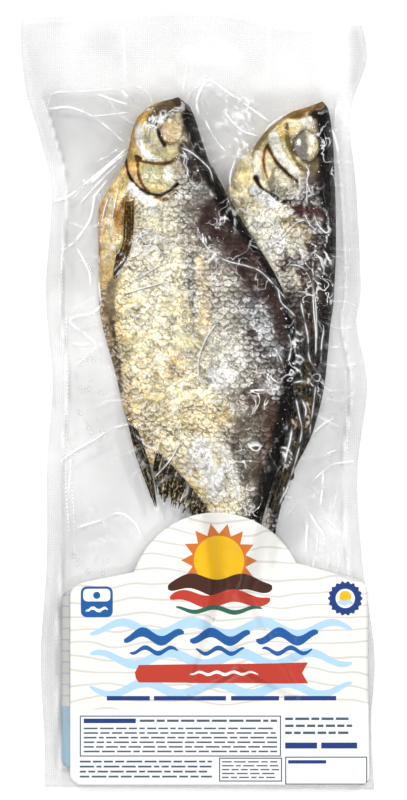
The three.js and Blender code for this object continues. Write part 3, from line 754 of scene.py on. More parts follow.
# Fins: two edges from root to tip as pixels of the photograph; rays run between them.
fins = {
    "pectoralFin": {"first": [(126, 203), (124, 226), (122, 250), (112, 278)],
                    "last": [(134, 203), (134, 226), (130, 254), (116, 281)], "rays": 5, "lift": 0.3,
                    "tone": "golden"},
    "pelvicFin": {"first": [(128, 423), (138, 462), (156, 510)], "last": [(138, 430), (152, 472), (158, 509)],
                  "rays": 8, "lift": 1.0, "tone": "dark"},
    "analFin": {"first": [(157, 450), (153, 472), (156, 497)], "last": [(207, 507), (202, 515), (194, 522)],
                "rays": 13, "lift": 1.2, "tone": "dark", "middle": [(182, 476), (177, 492), (172, 508)]},
    "dorsalFin": {"first": [(296, 343), (305, 344), (313, 350)], "last": [(268, 506), (273, 510), (278, 513)],
                  "rays": 12, "lift": 0.8, "tone": "brown", "middle": [(290, 420), (302, 424), (315, 420)],
                  "folds": 4},
}
finDetail = {"rows": 44, "columns": 90, "thickness": 0.55, "ray": 0.22, "torn": 0.4, "fold": 1.1,
             "rough": 0.15}
tailDetail = {"rows": 50, "columns": 81, "rays": 20, "ray": 0.12, "tipThickness": 0.7}


def finEdges(spec):
    edges = [spec["first"]] + ([spec["middle"]] if "middle" in spec else []) + [spec["last"]]
    return [curveThrough(fromPhoto(edge), 1.0) for edge in edges]


def buildFin(name, spec, seed, groundAt, material):
    u, v = np.linspace(0, 1, finDetail["columns"]), np.linspace(0, 1, finDetail["rows"])
    edges = [alongRoute(edge, v) for edge in finEdges(spec)]
    plan = np.array([alongRoute(curveThrough(places, 0.8), u) for places in zip(*edges)])
    torn = finDetail["torn"] * np.abs(roughField(u * 50, 0 * u, 3, seed)) * v[:, None] ** 3
    plan += (plan[0] - plan) * torn[..., None]
    x, y = plan[..., 0], plan[..., 1]
    ground = groundAt(x.ravel(), y.ravel(), np.repeat(v, len(u))).reshape(x.shape)
    u, v = np.meshgrid(u, v)
    ripple = finDetail["ray"] * np.cos(2 * math.pi * spec["rays"] * u)
    if "folds" in spec:
        ripple += finDetail["fold"] * np.cos(2 * math.pi * spec["folds"] * v + 0.8)
    rough = finDetail["rough"] * roughField(x, y, 3, seed + 1)
    top = ground + spec["lift"] + ripple * (1 - 0.5 * v) + rough
    bottom = np.maximum(top - finDetail["thickness"], 0.2)
    return closedSheet(name, np.dstack([x, y, top])[:, ::-1], np.dstack([x, y, bottom])[:, ::-1], material)


def buildTail(name, fish, material):
    tail, lines, root = fish["tail"], fish["lines"], fish["root"]
    rootHalf = (lines["back"](root) - lines["belly"](root)) / 2
    rootX = (lines["back"](root) + lines["belly"](root)) / 2
    across = np.linspace(-1, 1, tailDetail["columns"])[None, :]
    end = 1 - tail["fork"] / tail["length"] * (1 - np.abs(across))
    along = np.linspace(-0.04, 1, tailDetail["rows"])[:, None] * end
    spread = mix(rootHalf, tail["spread"] / 2, np.maximum(along, 0))
    y = root - along * tail["length"]
    x = rootX + tail["lean"] * along * tail["length"] + across * spread
    middle = mix(float(lines["backMiddle"](root)), pouch["restHeight"] + 1, np.maximum(along, 0))
    fleshy = np.sqrt(np.clip(along * 2.5, 0, 1))
    thickness = mix(float(lines["thickness"](root)), tailDetail["tipThickness"], fleshy)
    rounded = mix(np.sqrt(np.clip(1 - across ** 2, 0.02, 1)), 1, np.clip(along * 3, 0, 1))
    rays = tailDetail["ray"] * np.cos(across * math.pi * tailDetail["rays"]) * np.clip(along * 4, 0, 1)
    half = thickness / 2 * rounded + rays
    return closedSheet(name, np.dstack([x, y, middle + half]), np.dstack([x, y, middle - half]), material)


eyes = {
    "frontEye": {"fish": frontFish, "at": (172, 133), "radii": (11.5, 14), "dome": 1.4, "base": -0.7,
                 "rim": "#6E5C3C", "left": "#B79C70", "right": "#C4AF85", "streak": "#7C5C34", "split": -0.5,
                 "glints": [(-0.2, 0.75, 0.22), (-0.6, -0.5, 0.2)]},
    "rearEye": {"fish": rearFish, "at": (305, 148), "radii": (13.5, 16.5), "dome": 1.7, "base": -0.9,
                "rim": "#5C4C2C", "left": "#75726A", "right": "#CFC7A8", "streak": "#5A4A2A", "split": 0.05,
                "glints": [(-0.5, 0.2, 0.22), (0.45, 0.35, 0.3), (0.3, -0.3, 0.2)]},
}


def buildEye(name, spec, material):
    radius = np.linspace(0.02, 1, 34)[:, None]
    angle = np.linspace(0, 2 * math.pi, 80, endpoint=False)[None, :]
    u, v = radius * np.cos(angle), radius * np.sin(angle)
    centre = fromPhoto([spec["at"]])[0]
    rx, ry = np.array(spec["radii"]) * photo["scale"]
    x, y = centre[0] + rx * u, centre[1] + ry * v
    ground, _, _, _ = fishHeights(spec["fish"], x, y)
    cloud = roughField(x, y, 2.4, 14)
    groove = np.exp(-((radius - 0.9 + 0.03 * cloud) / 0.04) ** 2)
    dome = spec["dome"] * np.sqrt(np.clip(1 - radius ** 2, 0, 1))
    height = ground + spec["base"] + dome - 0.25 * groove + 0.12 * cloud
    side = smoothStep(u + 0.12 * v + 0.1 * cloud, spec["split"] - 0.15, spec["split"] + 0.2)[..., None]
    streak = np.exp(-(roughField(x, 0.6 * y, 1.3, 15) / 0.12) ** 2) * (radius < 0.85)
    colour = mix(hexTriple(spec["left"]), hexTriple(spec["right"]), side)
    colour = mix(colour, hexTriple(spec["streak"]), (0.5 * streak)[..., None] * side)
    for glintX, glintY, reach in spec["glints"]:
        apart = np.hypot(u - glintX, (v - glintY) * 0.7) / reach
        colour = mix(colour, hexTriple("#F6F3E6"), (0.85 * (1 - smoothStep(apart, 0.4, 1)))[..., None])
    # Painted shade: darker in the groove round the lens.
    colour = mix(colour, colour * hexTriple("#6E5634"), (0.8 * groove)[..., None])
    colour = mix(colour, hexTriple(spec["rim"]), smoothStep(radius, 0.93, 0.98)[..., None])
    return ringPiece(name, np.dstack([x, y, height]), colour, "eyeTint", material, sink=0.8)


readyFish(frontFish, frontMarks)
readyFish(rearFish, rearMarks)
skinMaterial = driedSkinMaterial()
finSkins = {
    "dark": finMaterial("driedFinMembrane", "#A89A70", "#16110B", (30.0, 2.4, 1.0)),
    "brown": finMaterial("driedDorsalMembrane", "#6E5322", "#080605", (16.0, 2.2, 1.0)),
    "golden": finMaterial("driedPectoralMembrane", "#A07C40", "#352713", (7.0, 1.6, 1.0)),
}
rearBody = buildFish("rearFish", rearFish, skinMaterial)
frontBody = buildFish("frontFish", frontFish, skinMaterial, below=rearFish)
eyeLook = eyeMaterial()
eyePieces = [buildEye(name, spec, eyeLook) for name, spec in eyes.items()]


def borderHeight(x, y):  # how high the two films hang where they lie together
    beside = pouch["borderLift"] * np.exp(-((y - 20) / 75) ** 2)
    curl = 0.9 * np.sin(y / 16 + np.sign(x)) * np.abs(x / 75) ** 3
    return pouch["restHeight"] + beside + curl


def groundForSide(x, y, v):  # the highest skin at each place, or the border where there is none
    height = borderHeight(x, y)
    for fish in (rearFish, frontFish):
        surface, inside = fishSurface(fish, x, y)
        height = np.where(inside, np.maximum(height, surface), height)
    return height


def groundForDorsal(x, y, v):  # from the front fish's back edge down to the rear fish
    surface, inside = fishSurface(rearFish, x, y)
    low = np.where(inside, surface, borderHeight(x, y) + 2)
    edge = frontFish["lines"]["backMiddle"](y)
    return mix(edge, low, smoothStep(v, -0.1, 0.9))


finPieces = []
for number, (name, spec) in enumerate(fins.items()):
    ground = groundForDorsal if name == "dorsalFin" else groundForSide
    finPieces.append(buildFin(name, spec, 40 + 5 * number, ground, finSkins[spec["tone"]]))
finPieces.append(buildTail("frontTail", frontFish, finSkins["brown"]))
finPieces.append(buildTail("rearTail", rearFish, finSkins["brown"]))
print("fish and fins made")


# The films. Heights are found on a grid, and the pouch's own mesh takes its points from the same grid.

def pouchOutline():
    right, left = curveThrough(pouch["right"], 1.3), curveThrough(pouch["left"], 1.3)
    top = curveThrough(pouch["top"], 1.3)
    return finer(np.vstack([top[::-1], left[::-1], right[::-1]]), 1.4)


def slotOutline():
    x, y = hangSlot["x"], hangSlot["y"]
    radius = hangSlot["height"] / 2
    reach = hangSlot["width"] / 2 - radius
    notch = (hangSlot["notchX"], y + radius)
    lower = bend((x - reach, y - radius), (x, y - radius + 2 * hangSlot["arch"]), (x + reach, y - radius), 20)
    rightEnd = arc((x + reach, y), radius, -math.pi / 2, math.pi / 2, 0.6)
    notchTop = arc(notch, hangSlot["notchRadius"], 0, math.pi, 0.6)
    leftEnd = arc((x - reach, y), radius, math.pi / 2, 1.5 * math.pi, 0.6)
    return finer(np.vstack([lower, rightEnd, notchTop, leftEnd]), 1.0)


sticker = {"thickness": 0.14, "lift": 0.12, "pitch": 1.7}
frontSticker = {"left": -57.4, "rightTop": 76.2, "rightBottom": 77.2, "bottom": -173.4, "corner": 5,
                "dome": (8.6, -90), "domeRadius": 39.3, "leftJoin": (-29.8, -77.2), "leftShoulder": -83.2,
                "rightJoin": (43.4, -73.8), "rightShoulder": -81.4, "shoulderReach": 8, "shoulderRise": 1.5}
rearSticker = {"left": -61.2, "right": 72, "top": -86, "bottom": -165.5, "corner": 4}


def frontStickerOutline():
    label, r = frontSticker, frontSticker["corner"]
    left, bottom = label["left"], label["bottom"]
    rightTop, rightBottom = label["rightTop"], label["rightBottom"]
    leftY, rightY = label["leftShoulder"], label["rightShoulder"]
    reach, rise = label["shoulderReach"], label["shoulderRise"]
    domeX, domeY = label["dome"]
    start, end = [math.atan2(y - domeY, x - domeX) for x, y in (label["rightJoin"], label["leftJoin"])]
    return np.vstack([
        [(left + r, bottom)],
        bend((rightBottom - r, bottom), (rightBottom, bottom), (rightBottom, bottom + r)),
        bend((rightTop, rightY - r), (rightTop, rightY), (rightTop - reach, rightY + rise)),
        arc(label["dome"], label["domeRadius"], start, end, 1.5),
        bend((left + reach, leftY + rise), (left, leftY), (left, leftY - r)),
        bend((left, bottom + r), (left, bottom), (left + r, bottom))[:-1],
    ])


def roundedBox(left, bottom, right, top, r):
    corners = [((left + r, bottom + r), math.pi), ((right - r, bottom + r), 1.5 * math.pi),
               ((right - r, top - r), 0), ((left + r, top - r), math.pi / 2)]
    return np.vstack([arc(centre, r, start, start + math.pi / 2, r / 3) for centre, start in corners])


def rearStickerOutline():
    return roundedBox(*[rearSticker[key] for key in ("left", "bottom", "right", "top", "corner")])


gridX = film["pitch"] * (np.arange(film["across"]) - (film["across"] - 1) / 2)
gridY = film["pitch"] * (np.arange(film["along"]) - (film["along"] - 1) / 2)
wideX, wideY = np.meshgrid(gridX, gridY)


def sampleGrid(values, x, y):
    u = np.clip((x - gridX[0]) / film["pitch"], 0, film["across"] - 1.001)
    v = np.clip((y - gridY[0]) / film["pitch"], 0, film["along"] - 1.001)
    i, j = u.astype(int), v.astype(int)
    low = mix(values[j, i], values[j, i + 1], u - i)
    high = mix(values[j + 1, i], values[j + 1, i + 1], u - i)
    return mix(low, high, v - j)


def stretchFilm(limit):  # pulls a film tight over what it holds, on a coarse grid first
    height = None
    for level, passes in ((4, 500), (2, 220), (1, 90)):
        floor = limit[::level, ::level]
        if height is None:
            height = floor.copy()
        else:
            rows = np.repeat(height, 2, axis=0)[:-1]
            rows[1::2] = (height[:-1] + height[1:]) / 2
            height = np.repeat(rows, 2, axis=1)[:, :-1]
            height[:, 1::2] = (rows[:, :-1] + rows[:, 1:]) / 2
            height = np.maximum(height, floor)
        sag = pouch["pull"] * (film["pitch"] * level) ** 2 / 4
        for _ in range(passes):
            around = height[:-2, 1:-1] + height[2:, 1:-1] + height[1:-1, :-2] + height[1:-1, 2:]
            height[1:-1, 1:-1] = np.maximum(floor[1:-1, 1:-1], around / 4 - sag)
    return height


def nearestCell(points):  # the row and column of the grid that lie nearest to each point
    column, row = [np.rint((points[:, axis] - start) / film["pitch"]).astype(int)
                   for axis, start in ((0, gridX[0]), (1, gridY[0]))]
    return row, column


def coverPoints(limit, points, side):  # lifts the limit over the points of a thin piece
    np.maximum.at(limit, nearestCell(points), side * points[:, 2] + film["clearance"])


def piecePoints(piece):
    places = np.empty(len(piece.data.vertices) * 3, "f")
    piece.data.vertices.foreach_get("co", places)
    return places.reshape(-1, 3) / mm


def filmLimits():
    border = borderHeight(wideX, wideY)
    over, under = border + film["halfGap"], -border + film["halfGap"]
    for fish in (frontFish, rearFish):
        found = fishSurface(fish, wideX.ravel(), wideY.ravel())
        surface, inside = [field.reshape(wideX.shape) for field in found]
        over = np.where(inside, np.maximum(over, surface + film["clearance"]), over)
    for piece in finPieces + eyePieces:
        coverPoints(over, piecePoints(piece), 1)
    for piece in finPieces + [frontBody, rearBody]:
        coverPoints(under, piecePoints(piece), -1)
    return over, under


overLimit, underLimit = filmLimits()
overFilm = stretchFilm(overLimit)
underFilm = np.maximum(-stretchFilm(underLimit), film["leastHeight"])
fishBelow = (overLimit > borderHeight(wideX, wideY) + 1.0).astype(float)
touching = smoothStep(overLimit + 0.35 - overFilm, 0, 0.3) * fishBelow
print("films stretched")

# Film wrinkles: height and half width in millimetres, and the route in pixels of the photograph.
ridges = [
    (1.0, 0.8, [(96, 94), (115, 101), (134, 107)]),
    (0.9, 0.8, [(119, 88), (129, 98), (137, 108)]),
    (1.0, 0.9, [(51, 97), (48, 108), (53, 109), (70, 108), (91, 116), (110, 130), (124, 143)]),
    (0.9, 0.9, [(127, 149), (100, 172), (71, 195), (53, 202)]),
    (0.8, 0.7, [(126, 154), (108, 168), (90, 185)]),
    (1.0, 0.9, [(109, 179), (95, 196), (94, 202), (89, 222), (75, 242)]),
    (0.8, 0.8, [(75, 242), (63, 253), (62, 270)]),
    (0.8, 0.8, [(77, 248), (89, 271), (91, 285)]),
    (0.9, 0.9, [(103, 303), (93, 313), (75, 317), (71, 323), (86, 335), (96, 345), (91, 353), (76, 365)]),
    (0.8, 0.9, [(73, 343), (82, 345), (92, 343)]),
    (1.1, 0.9, [(131, 424), (113, 428), (95, 439), (71, 453), (62, 461)]),
    (0.8, 0.9, [(78, 527), (100, 520), (118, 513), (133, 521), (144, 540)]),
    (1.0, 0.9, [(199, 116), (197, 100), (206, 82), (216, 84), (225, 91), (240, 101), (270, 123)]),
    (0.8, 0.7, [(222, 108), (232, 122), (244, 132), (262, 138)]),
    (0.8, 0.7, [(205, 120), (214, 138), (226, 152), (236, 158)]),
    (0.6, 0.7, [(182, 213), (189, 199), (197, 196), (206, 202)]),
    (0.7, 0.8, [(181, 150), (192, 155), (205, 166), (210, 172), (213, 183)]),
    (0.6, 0.7, [(182, 152), (187, 160), (186, 171), (190, 180)]),
    (0.7, 0.8, [(195, 230), (208, 250), (225, 262), (247, 268), (262, 275), (285, 300)]),
    (0.6, 0.7, [(182, 216), (195, 226), (202, 241)]),
    (0.45, 0.6, [(202, 136), (210, 164), (223, 187), (230, 208)]),
    (0.8, 0.8, [(262, 370), (270, 378), (277, 383)]),
    (0.9, 0.8, [(292, 383), (297, 382), (303, 381)]),
    (0.9, 0.7, [(308, 370), (312, 379), (318, 381), (319, 375), (313, 375), (309, 382), (314, 387)]),
    (0.9, 0.7, [(312, 262), (312, 290), (313, 312), (315, 334), (315, 356)]),
    (1.0, 0.8, [(300, 303), (304, 323), (307, 338), (308, 357), (313, 368), (319, 375)]),
    (0.9, 0.7, [(323, 332), (321, 343), (320, 363), (319, 372)]),
    (0.9, 0.8, [(277, 288), (280, 303), (288, 311), (295, 318)]),
    (0.8, 0.7, [(272, 349), (277, 354), (281, 363), (284, 374)]),
    (0.9, 0.9, [(287, 334), (290, 348), (286, 366)]),
    (0.9, 0.7, [(295, 399), (298, 414), (301, 428), (299, 443)]),
    (1.0, 0.9, [(301, 400), (305, 409), (304, 418)]),
    (1.0, 1.0, [(291, 428), (289, 441), (286, 452), (284, 463)]),
    (0.7, 0.7, [(315, 386), (312, 410), (309, 432)]),
    (0.9, 0.8, [(289, 484), (283, 495), (279, 504)]),
    (1.1, 1.1, [(297, 352), (299, 357)]),
    (0.8, 0.8, [(124, 294), (138, 290), (158, 285), (169, 282)]),
    (0.7, 0.7, [(137, 280), (150, 272), (169, 262)]),
    (0.7, 0.7, [(135, 246), (140, 238), (150, 234), (158, 237), (170, 242)]),
    (0.7, 0.7, [(130, 259), (140, 254), (150, 247), (152, 241), (160, 236)]),
    (0.7, 0.9, [(141, 211), (150, 208), (158, 212)]),
    (0.7, 0.7, [(109, 198), (105, 209), (102, 225), (101, 245)]),
    (0.7, 0.8, [(119, 188), (116, 201), (113, 216), (112, 226)]),
    (0.9, 1.0, [(116, 231), (117, 238)]),
    (0.9, 1.0, [(105, 244), (107, 247)]),
    (0.9, 0.9, [(110, 253), (112, 257)]),
    (0.9, 0.8, [(122, 252), (125, 258), (120, 265), (114, 272)]),
    (0.6, 0.6, [(100, 258), (99, 277), (101, 305)]),
    (0.8, 0.6, [(152, 126), (156, 119), (159, 125), (163, 118), (168, 121), (173, 115)]),
    (0.7, 0.6, [(147, 126), (152, 130), (157, 124)]),
    (0.8, 0.7, [(186, 158), (184, 166), (188, 172), (186, 182)]),
    (0.8, 0.7, [(304, 166), (308, 174), (306, 184), (310, 196)]),
    (0.7, 0.7, [(301, 128), (304, 122), (308, 120), (306, 128)]),
    (0.8, 0.7, [(270, 248), (276, 243), (283, 247), (280, 254), (273, 255)]),
    (0.9, 0.8, [(313, 216), (317, 226), (325, 234), (329, 230)]),
    (0.9, 0.8, [(328, 348), (336, 347), (346, 348)]),
    (0.9, 0.8, [(312, 434), (323, 424), (336, 416)]),
    (0.8, 0.8, [(322, 456), (330, 452), (338, 449)]),
    (0.9, 0.8, [(312, 481), (323, 471), (333, 464), (355, 461)]),
    (0.9, 0.9, [(323, 470), (322, 488), (320, 506)]),
    (0.9, 0.9, [(286, 516), (300, 502), (315, 522), (326, 539)]),
    (0.8, 0.9, [(307, 522), (306, 548), (309, 566)]),
    (0.5, 0.8, [(317, 532), (316, 550), (312, 568)]),
    (0.3, 0.8, [(322, 538), (328, 548), (327, 570)]),
    (0.3, 0.8, [(336, 546), (339, 560), (336, 574)]),
    (0.3, 0.8, [(331, 500), (330, 516), (338, 488)]),
    (0.5, 0.7, [(50, 97), (56, 93), (76, 92), (94, 91), (117, 90), (127, 98), (135, 108)]),
    (0.5, 0.6, [(91, 117), (110, 115), (127, 113), (137, 111)]),
    (0.5, 0.6, [(126, 151), (98, 176), (72, 199)]),
    (0.5, 0.6, [(125, 157), (102, 180), (80, 204)]),
    (0.5, 0.6, [(120, 148), (108, 156), (94, 164)]),
    (0.4, 0.7, [(71, 458), (70, 474), (69, 492)]),
    (0.25, 1.4, [(125, 12), (124, 46), (126, 80)]),
    (0.6, 0.9, [(187, 62), (185, 76), (183, 90)]),
    (0.15, 1.6, [(268, 20), (270, 52), (266, 84)]),
    (0.9, 0.9, [(331, 128), (335, 142), (339, 156)]),
    (0.9, 0.7, [(181, 441), (170, 460), (155, 477)]),
    (0.5, 0.7, [(208, 439), (222, 453), (233, 477), (237, 497)]),
    (0.7, 0.8, [(226, 313), (211, 331), (202, 348), (198, 364), (200, 380), (208, 393)]),
    (0.7, 0.8, [(288, 266), (302, 269), (312, 288), (315, 308), (316, 341)]),
    (0.6, 0.7, [(276, 243), (284, 236), (296, 224), (306, 222)]),
    (0.7, 0.8, [(312, 259), (320, 259), (323, 271), (320, 281)]),
    (0.8, 0.7, [(262, 136), (270, 126), (284, 116)]),
    (0.7, 0.7, [(236, 158), (230, 178), (232, 204)]),
    (0.8, 0.8, [(299, 446), (293, 468), (284, 496)]),
    (0.8, 0.7, [(194, 440), (205, 458), (212, 480), (214, 494)]),
    (0.7, 0.7, [(186, 446), (196, 466), (204, 492)]),
    (0.7, 0.7, [(214, 440), (224, 456), (230, 476)]),
    (0.8, 0.8, [(303, 214), (309, 226), (316, 232)]),
    (0.8, 0.8, [(300, 262), (308, 254), (318, 258), (322, 270)]),
    (0.6, 0.7, [(268, 236), (275, 246), (284, 248), (289, 240)]),
    (0.7, 0.6, [(308, 168), (306, 186), (306, 206)]),
    (0.8, 0.8, [(180, 158), (174, 168), (168, 176)]),
    (0.7, 0.7, [(166, 116), (174, 112), (182, 116)]),
    (0.7, 0.7, [(148, 140), (150, 130), (158, 122)]),
]
creases = {"step": 7.5, "least": 6, "most": 22, "height": 0.6, "half": 1.1, "lowest": -48, "seed": 21}


def sideCreases():  # short wrinkles that run out from the fish, where the film dives to the border
    draw = np.random.default_rng(creases["seed"])
    found = []
    for fish, key, side in ((frontFish, "belly", -1), (rearFish, "back", 1), (frontFish, "back", 1)):
        line = fish["lines"][key]
        y = fish["snout"] - 4
        while y > creases["lowest"]:
            x = float(line(y))
            slope = float(line(y + 1) - line(y - 1)) / 2
            outward = np.array([side, -side * slope]) / math.hypot(1, slope)
            turn = draw.normal(0, 0.35)
            heading = np.array([outward[0] * math.cos(turn) - outward[1] * math.sin(turn),
                                outward[0] * math.sin(turn) + outward[1] * math.cos(turn)])
            length = draw.uniform(creases["least"], creases["most"])
            curve = draw.normal(0, 0.12) * length * np.array([-heading[1], heading[0]])
            start = np.array([x, y]) - 2.5 * heading
            route = np.array([start, start + heading * length / 2 + curve, start + heading * length])
            overRear = key == "back" and fish is frontFish and y < 105
            if not overRear:
                found.append({"route": curveThrough(route, 1.0),
                              "height": creases["height"] * draw.uniform(0.5, 1.4),
                              "half": creases["half"] * draw.uniform(0.8, 1.4),
                              "white": draw.uniform(0.1, 0.5)})
            y -= creases["step"] * draw.uniform(0.6, 1.5)
    return found


def readyRidges():  # lower and narrower on a fish, where the film is tight
    ready = []
    for height, half, places in ridges:
        route = curveThrough(fromPhoto(places), 0.7)
        onFish = sampleGrid(fishBelow, *route.T).mean()
        ready.append({"route": route, "height": height * mix(1, 0.75, onFish),
                      "half": half * mix(0.9, 0.64, onFish), "white": 1})
    return ready + sideCreases()


def ridgePoints(ready):  # rows of points along each wrinkle, so that its crest is sharp in the mesh
    rows = []
    for ridge in ready:
        route = ridge["route"]
        steps = np.gradient(route, axis=0)
        across = np.column_stack([-steps[:, 1], steps[:, 0]]) / np.linalg.norm(steps, axis=1)[:, None]
        rows += [route + across * ridge["half"] * offset for offset in (-1.1, -0.5, 0, 0.5, 1.1)]
    return np.vstack(rows)


def ridgeLook(ready, x, y):  # the wrinkles' height, their crests' painted highlights and their flanks' painted shade
    height, crestWhiteAndHighlight, flankShade = np.zeros((3, *x.shape))
    broken = np.clip(0.75 + 1.1 * roughField(x, y, 5, 80), 0.15, 1)
    for ridge in ready:
        route, half = ridge["route"], ridge["half"]
        apart = distanceTo(route, x, y, 3.2 * half)
        fromStart = np.hypot(x - route[0][0], y - route[0][1])
        fromEnd = np.hypot(x - route[-1][0], y - route[-1][1])
        taper = (smoothStep(np.minimum(fromStart, fromEnd), 0, 4 * half) * 0.8 + 0.2) * (apart < 3.1 * half)
        height = np.maximum(height, ridge["height"] * taper * np.exp(-(apart / half) ** 2))
        # Painted highlight on the crest, partly stress whitening, and painted shade on one flank.
        share = taper * np.clip(1.4 * ridge["height"], 0, 1) * ridge["white"] * broken
        crestWhiteAndHighlight = np.maximum(crestWhiteAndHighlight, share * (0.85 * np.exp(-(apart / (0.42 * half)) ** 2)
                                           + 0.15 * np.exp(-(apart / (1.3 * half)) ** 2)))
        shaded = distanceTo(route + np.array([0.75, -0.75]) * half, x, y, 3 * half)
        flankShade = np.maximum(flankShade, share * np.exp(-(shaded / (0.5 * half)) ** 2) * (1 - crestWhiteAndHighlight))
    return height, crestWhiteAndHighlight, flankShade


# Places where the film is crumpled into small folds, with painted highlights along them and painted shade
# beside them: middle and reach in pixels, and how white.
crumples = [
    ((206, 468), (26, 30), 0.9),
    ((321, 246), (13, 38), 0.9),
    ((277, 246), (14, 16), 0.8),
    ((160, 119), (20, 8), 0.8),
    ((183, 166), (9, 16), 0.45),
    ((218, 380), (15, 14), 0.7),
    ((296, 352), (8, 34), 0.8),
    ((288, 448), (8, 26), 0.8),
    ((232, 112), (32, 22), 0.55),
    ((243, 146), (16, 18), 0.7),
    ((303, 190), (12, 24), 0.5),
    ((150, 245), (20, 16), 0.6),
    ((110, 225), (12, 40), 0.6),
    ((146, 445), (14, 24), 0.6),
    ((246, 216), (30, 22), 0.45),
    ((328, 540), (26, 50), 0.2),
    ((105, 530), (26, 40), 0.2),
]


def crumpleHighlightAndShade(x, y):
    paintedHighlight, dark = np.zeros((2, *x.shape))
    lines = roughField(x, 0.75 * y, 5, 90)
    for middle, reach, white in crumples:
        centre = fromPhoto([middle])[0]
        rx, ry = np.array(reach) * photo["scale"]
        share = 1 - smoothStep(np.hypot((x - centre[0]) / rx, (y - centre[1]) / ry), 0.5, 1.15)
        # Painted highlights along the crumple lines, and painted shade just beside them.
        paintedHighlight = np.maximum(paintedHighlight, white * share * np.exp(-(lines / 0.11) ** 2))
        dark = np.maximum(dark, white * share * np.exp(-((lines - 0.28) / 0.14) ** 2))
    return paintedHighlight, dark


def leftTurning(loop):  # the loop run so that its inside is on the left
    loop = np.asarray(loop, float)
    x, y = loop.T
    area = np.sum(x * np.roll(y, -1) - y * np.roll(x, -1))
    return loop if area > 0 else loop[::-1]


def fillOutline(outline, holes, inner, shapes=()):  # triangles inside an outline, and the last shape on each
    corners, faces, edges = [], [], []
    for number, loop in enumerate([outline] + list(holes) + list(shapes)):
        loop = leftTurning(loop)
        ring = list(range(len(corners), len(corners) + len(loop)))
        corners.extend(Vector((float(px), float(py))) for px, py in loop)
        if 0 < number <= len(holes):
            edges.extend(zip(ring, ring[1:] + ring[:1]))
        else:
            faces.append(ring)
    corners.extend(Vector((float(px), float(py))) for px, py in inner)
    places, _, triangles, _, _, sources = delaunay_2d_cdt(corners, edges, faces, 1, 1e-5)
    places = np.array([tuple(place) for place in places])
    triangles = np.array(triangles)
    middles = places[triangles].mean(axis=1)
    keep = np.ones(len(triangles), bool)
    for hole in holes:
        keep &= ~isInside(hole, middles[:, 0], middles[:, 1])
    top = np.array([max(source) if source else 0 for source in sources])
    return places, triangles[keep], top[keep]


def closed(loop):
    return np.vstack([loop, loop[:1]])


def insideLabel(outline, x, y, inset):  # 1 well inside a sticker's outline and 0 outside it
    return isInside(outline, x, y) * smoothStep(distanceTo(closed(outline), x, y, inset), 0, inset)


# How the film looks. Haze is milky and grey is dark. The crest entry is a painted highlight, partly stress
# whitening; the flank entries are painted shade; the weld entries are a painted highlight and a painted
# shadow in lines at that many millimetres from the edge; the pale strip is painted light on film in shade.
filmLook = {
    "haze": 0.03, "sealHaze": 0.05, "hazeDrift": 0.02, "clearOnFish": 0.95, "crestWhiteAndPaintedHighlight": 1.1,
    "grey": 0.11, "sealGrey": -0.02, "greyDrift": 0.03, "upperGrey": 0.04, "leftGrey": 0.035,
    "rightGrey": 0.05, "paintedLightStrip": 0.45, "edgeGrey": 0.05, "paintedFlankShade": 0.15, "paintedFlankShadeOnFish": 0.6,
    "weldPaintedHighlight": 0.3, "weldPaintedHighlightAt": 6.6, "weldPaintedShadow": 0.1, "weldPaintedShadowAt": 7.5,
}


def frontWrinkles(ready, x, y):  # all the wrinkles of the shown side: height, white crests with painted highlights, and flanks with painted shade
    height, crestWhiteAndHighlight, flankShade = ridgeLook(ready, x, y)
    paintedHighlight, dark = crumpleHighlightAndShade(x, y)
    height = height + 0.3 * paintedHighlight + 0.12 * roughField(x, y, 9, 61)
    return height, np.maximum(crestWhiteAndHighlight, paintedHighlight), np.maximum(flankShade, 0.7 * dark)


def filmTones(outline, points, frontCount, crestWhiteAndHighlight, flankShade):  # what the film's material reads at each point
    look = filmLook
    x, y = points[:, 0], points[:, 1]
    front = slice(0, frontCount)
    fromEdge = distanceTo(closed(outline), x, y, 12)
    sealed = np.maximum(1 - smoothStep(fromEdge, 6, 7.2), smoothStep(y, 134, 142))
    overFish = sampleGrid(fishBelow, x, y)
    beside = 1 - overFish
    haze = look["haze"] + look["sealHaze"] * sealed + look["hazeDrift"] * roughField(x, y, 12, 70)
    haze *= 1 - look["clearOnFish"] * overFish
    # Painted highlights: white along the wrinkle crests, partly stress whitening of the film.
    haze[front] += look["crestWhiteAndPaintedHighlight"] * crestWhiteAndHighlight
    grey = (look["grey"] + look["sealGrey"] * sealed + look["greyDrift"] * roughField(x, y, 20, 71)) * beside
    # Painted light: less grey on the film to the right of the fish, where it lies in shade.
    paintedLightArea = smoothStep(x, 50, 58) * (1 - smoothStep(x, 66, 71)) * smoothStep(y, -30, 20)
    grey *= 1 - look["paintedLightStrip"] * paintedLightArea
    grey += look["upperGrey"] * smoothStep(y, 40, 80) * (1 - sealed) * beside
    grey += look["leftGrey"] * smoothStep(-x, 54, 64) + look["rightGrey"] * smoothStep(x, 66, 71)
    weld = smoothStep(np.abs(x), 45, 50) * (1 - smoothStep(y, 130, 136))
    # A painted highlight and a painted shadow in lines along the weld.
    haze += look["weldPaintedHighlight"] * weld * np.exp(-((fromEdge - look["weldPaintedHighlightAt"]) / 0.45) ** 2)
    grey += look["weldPaintedShadow"] * weld * np.exp(-((fromEdge - look["weldPaintedShadowAt"]) / 0.5) ** 2)
    grey += look["edgeGrey"] * (1 - smoothStep(fromEdge, 0.3, 1.2))
    # Painted shade on the wrinkles' flanks.
    grey[front] += look["paintedFlankShadeOnFish"] * flankShade * overFish[front] + look["paintedFlankShade"] * flankShade
    cling = np.zeros(len(points))
    cling[front] = (sampleGrid(touching, x, y) * np.clip(0.7 + 0.6 * roughField(x, y, 22, 73), 0.2, 1))[front]
    return {"haze": np.clip(haze, 0, 1), "emboss": sealed, "cling": cling, "fold": grey}


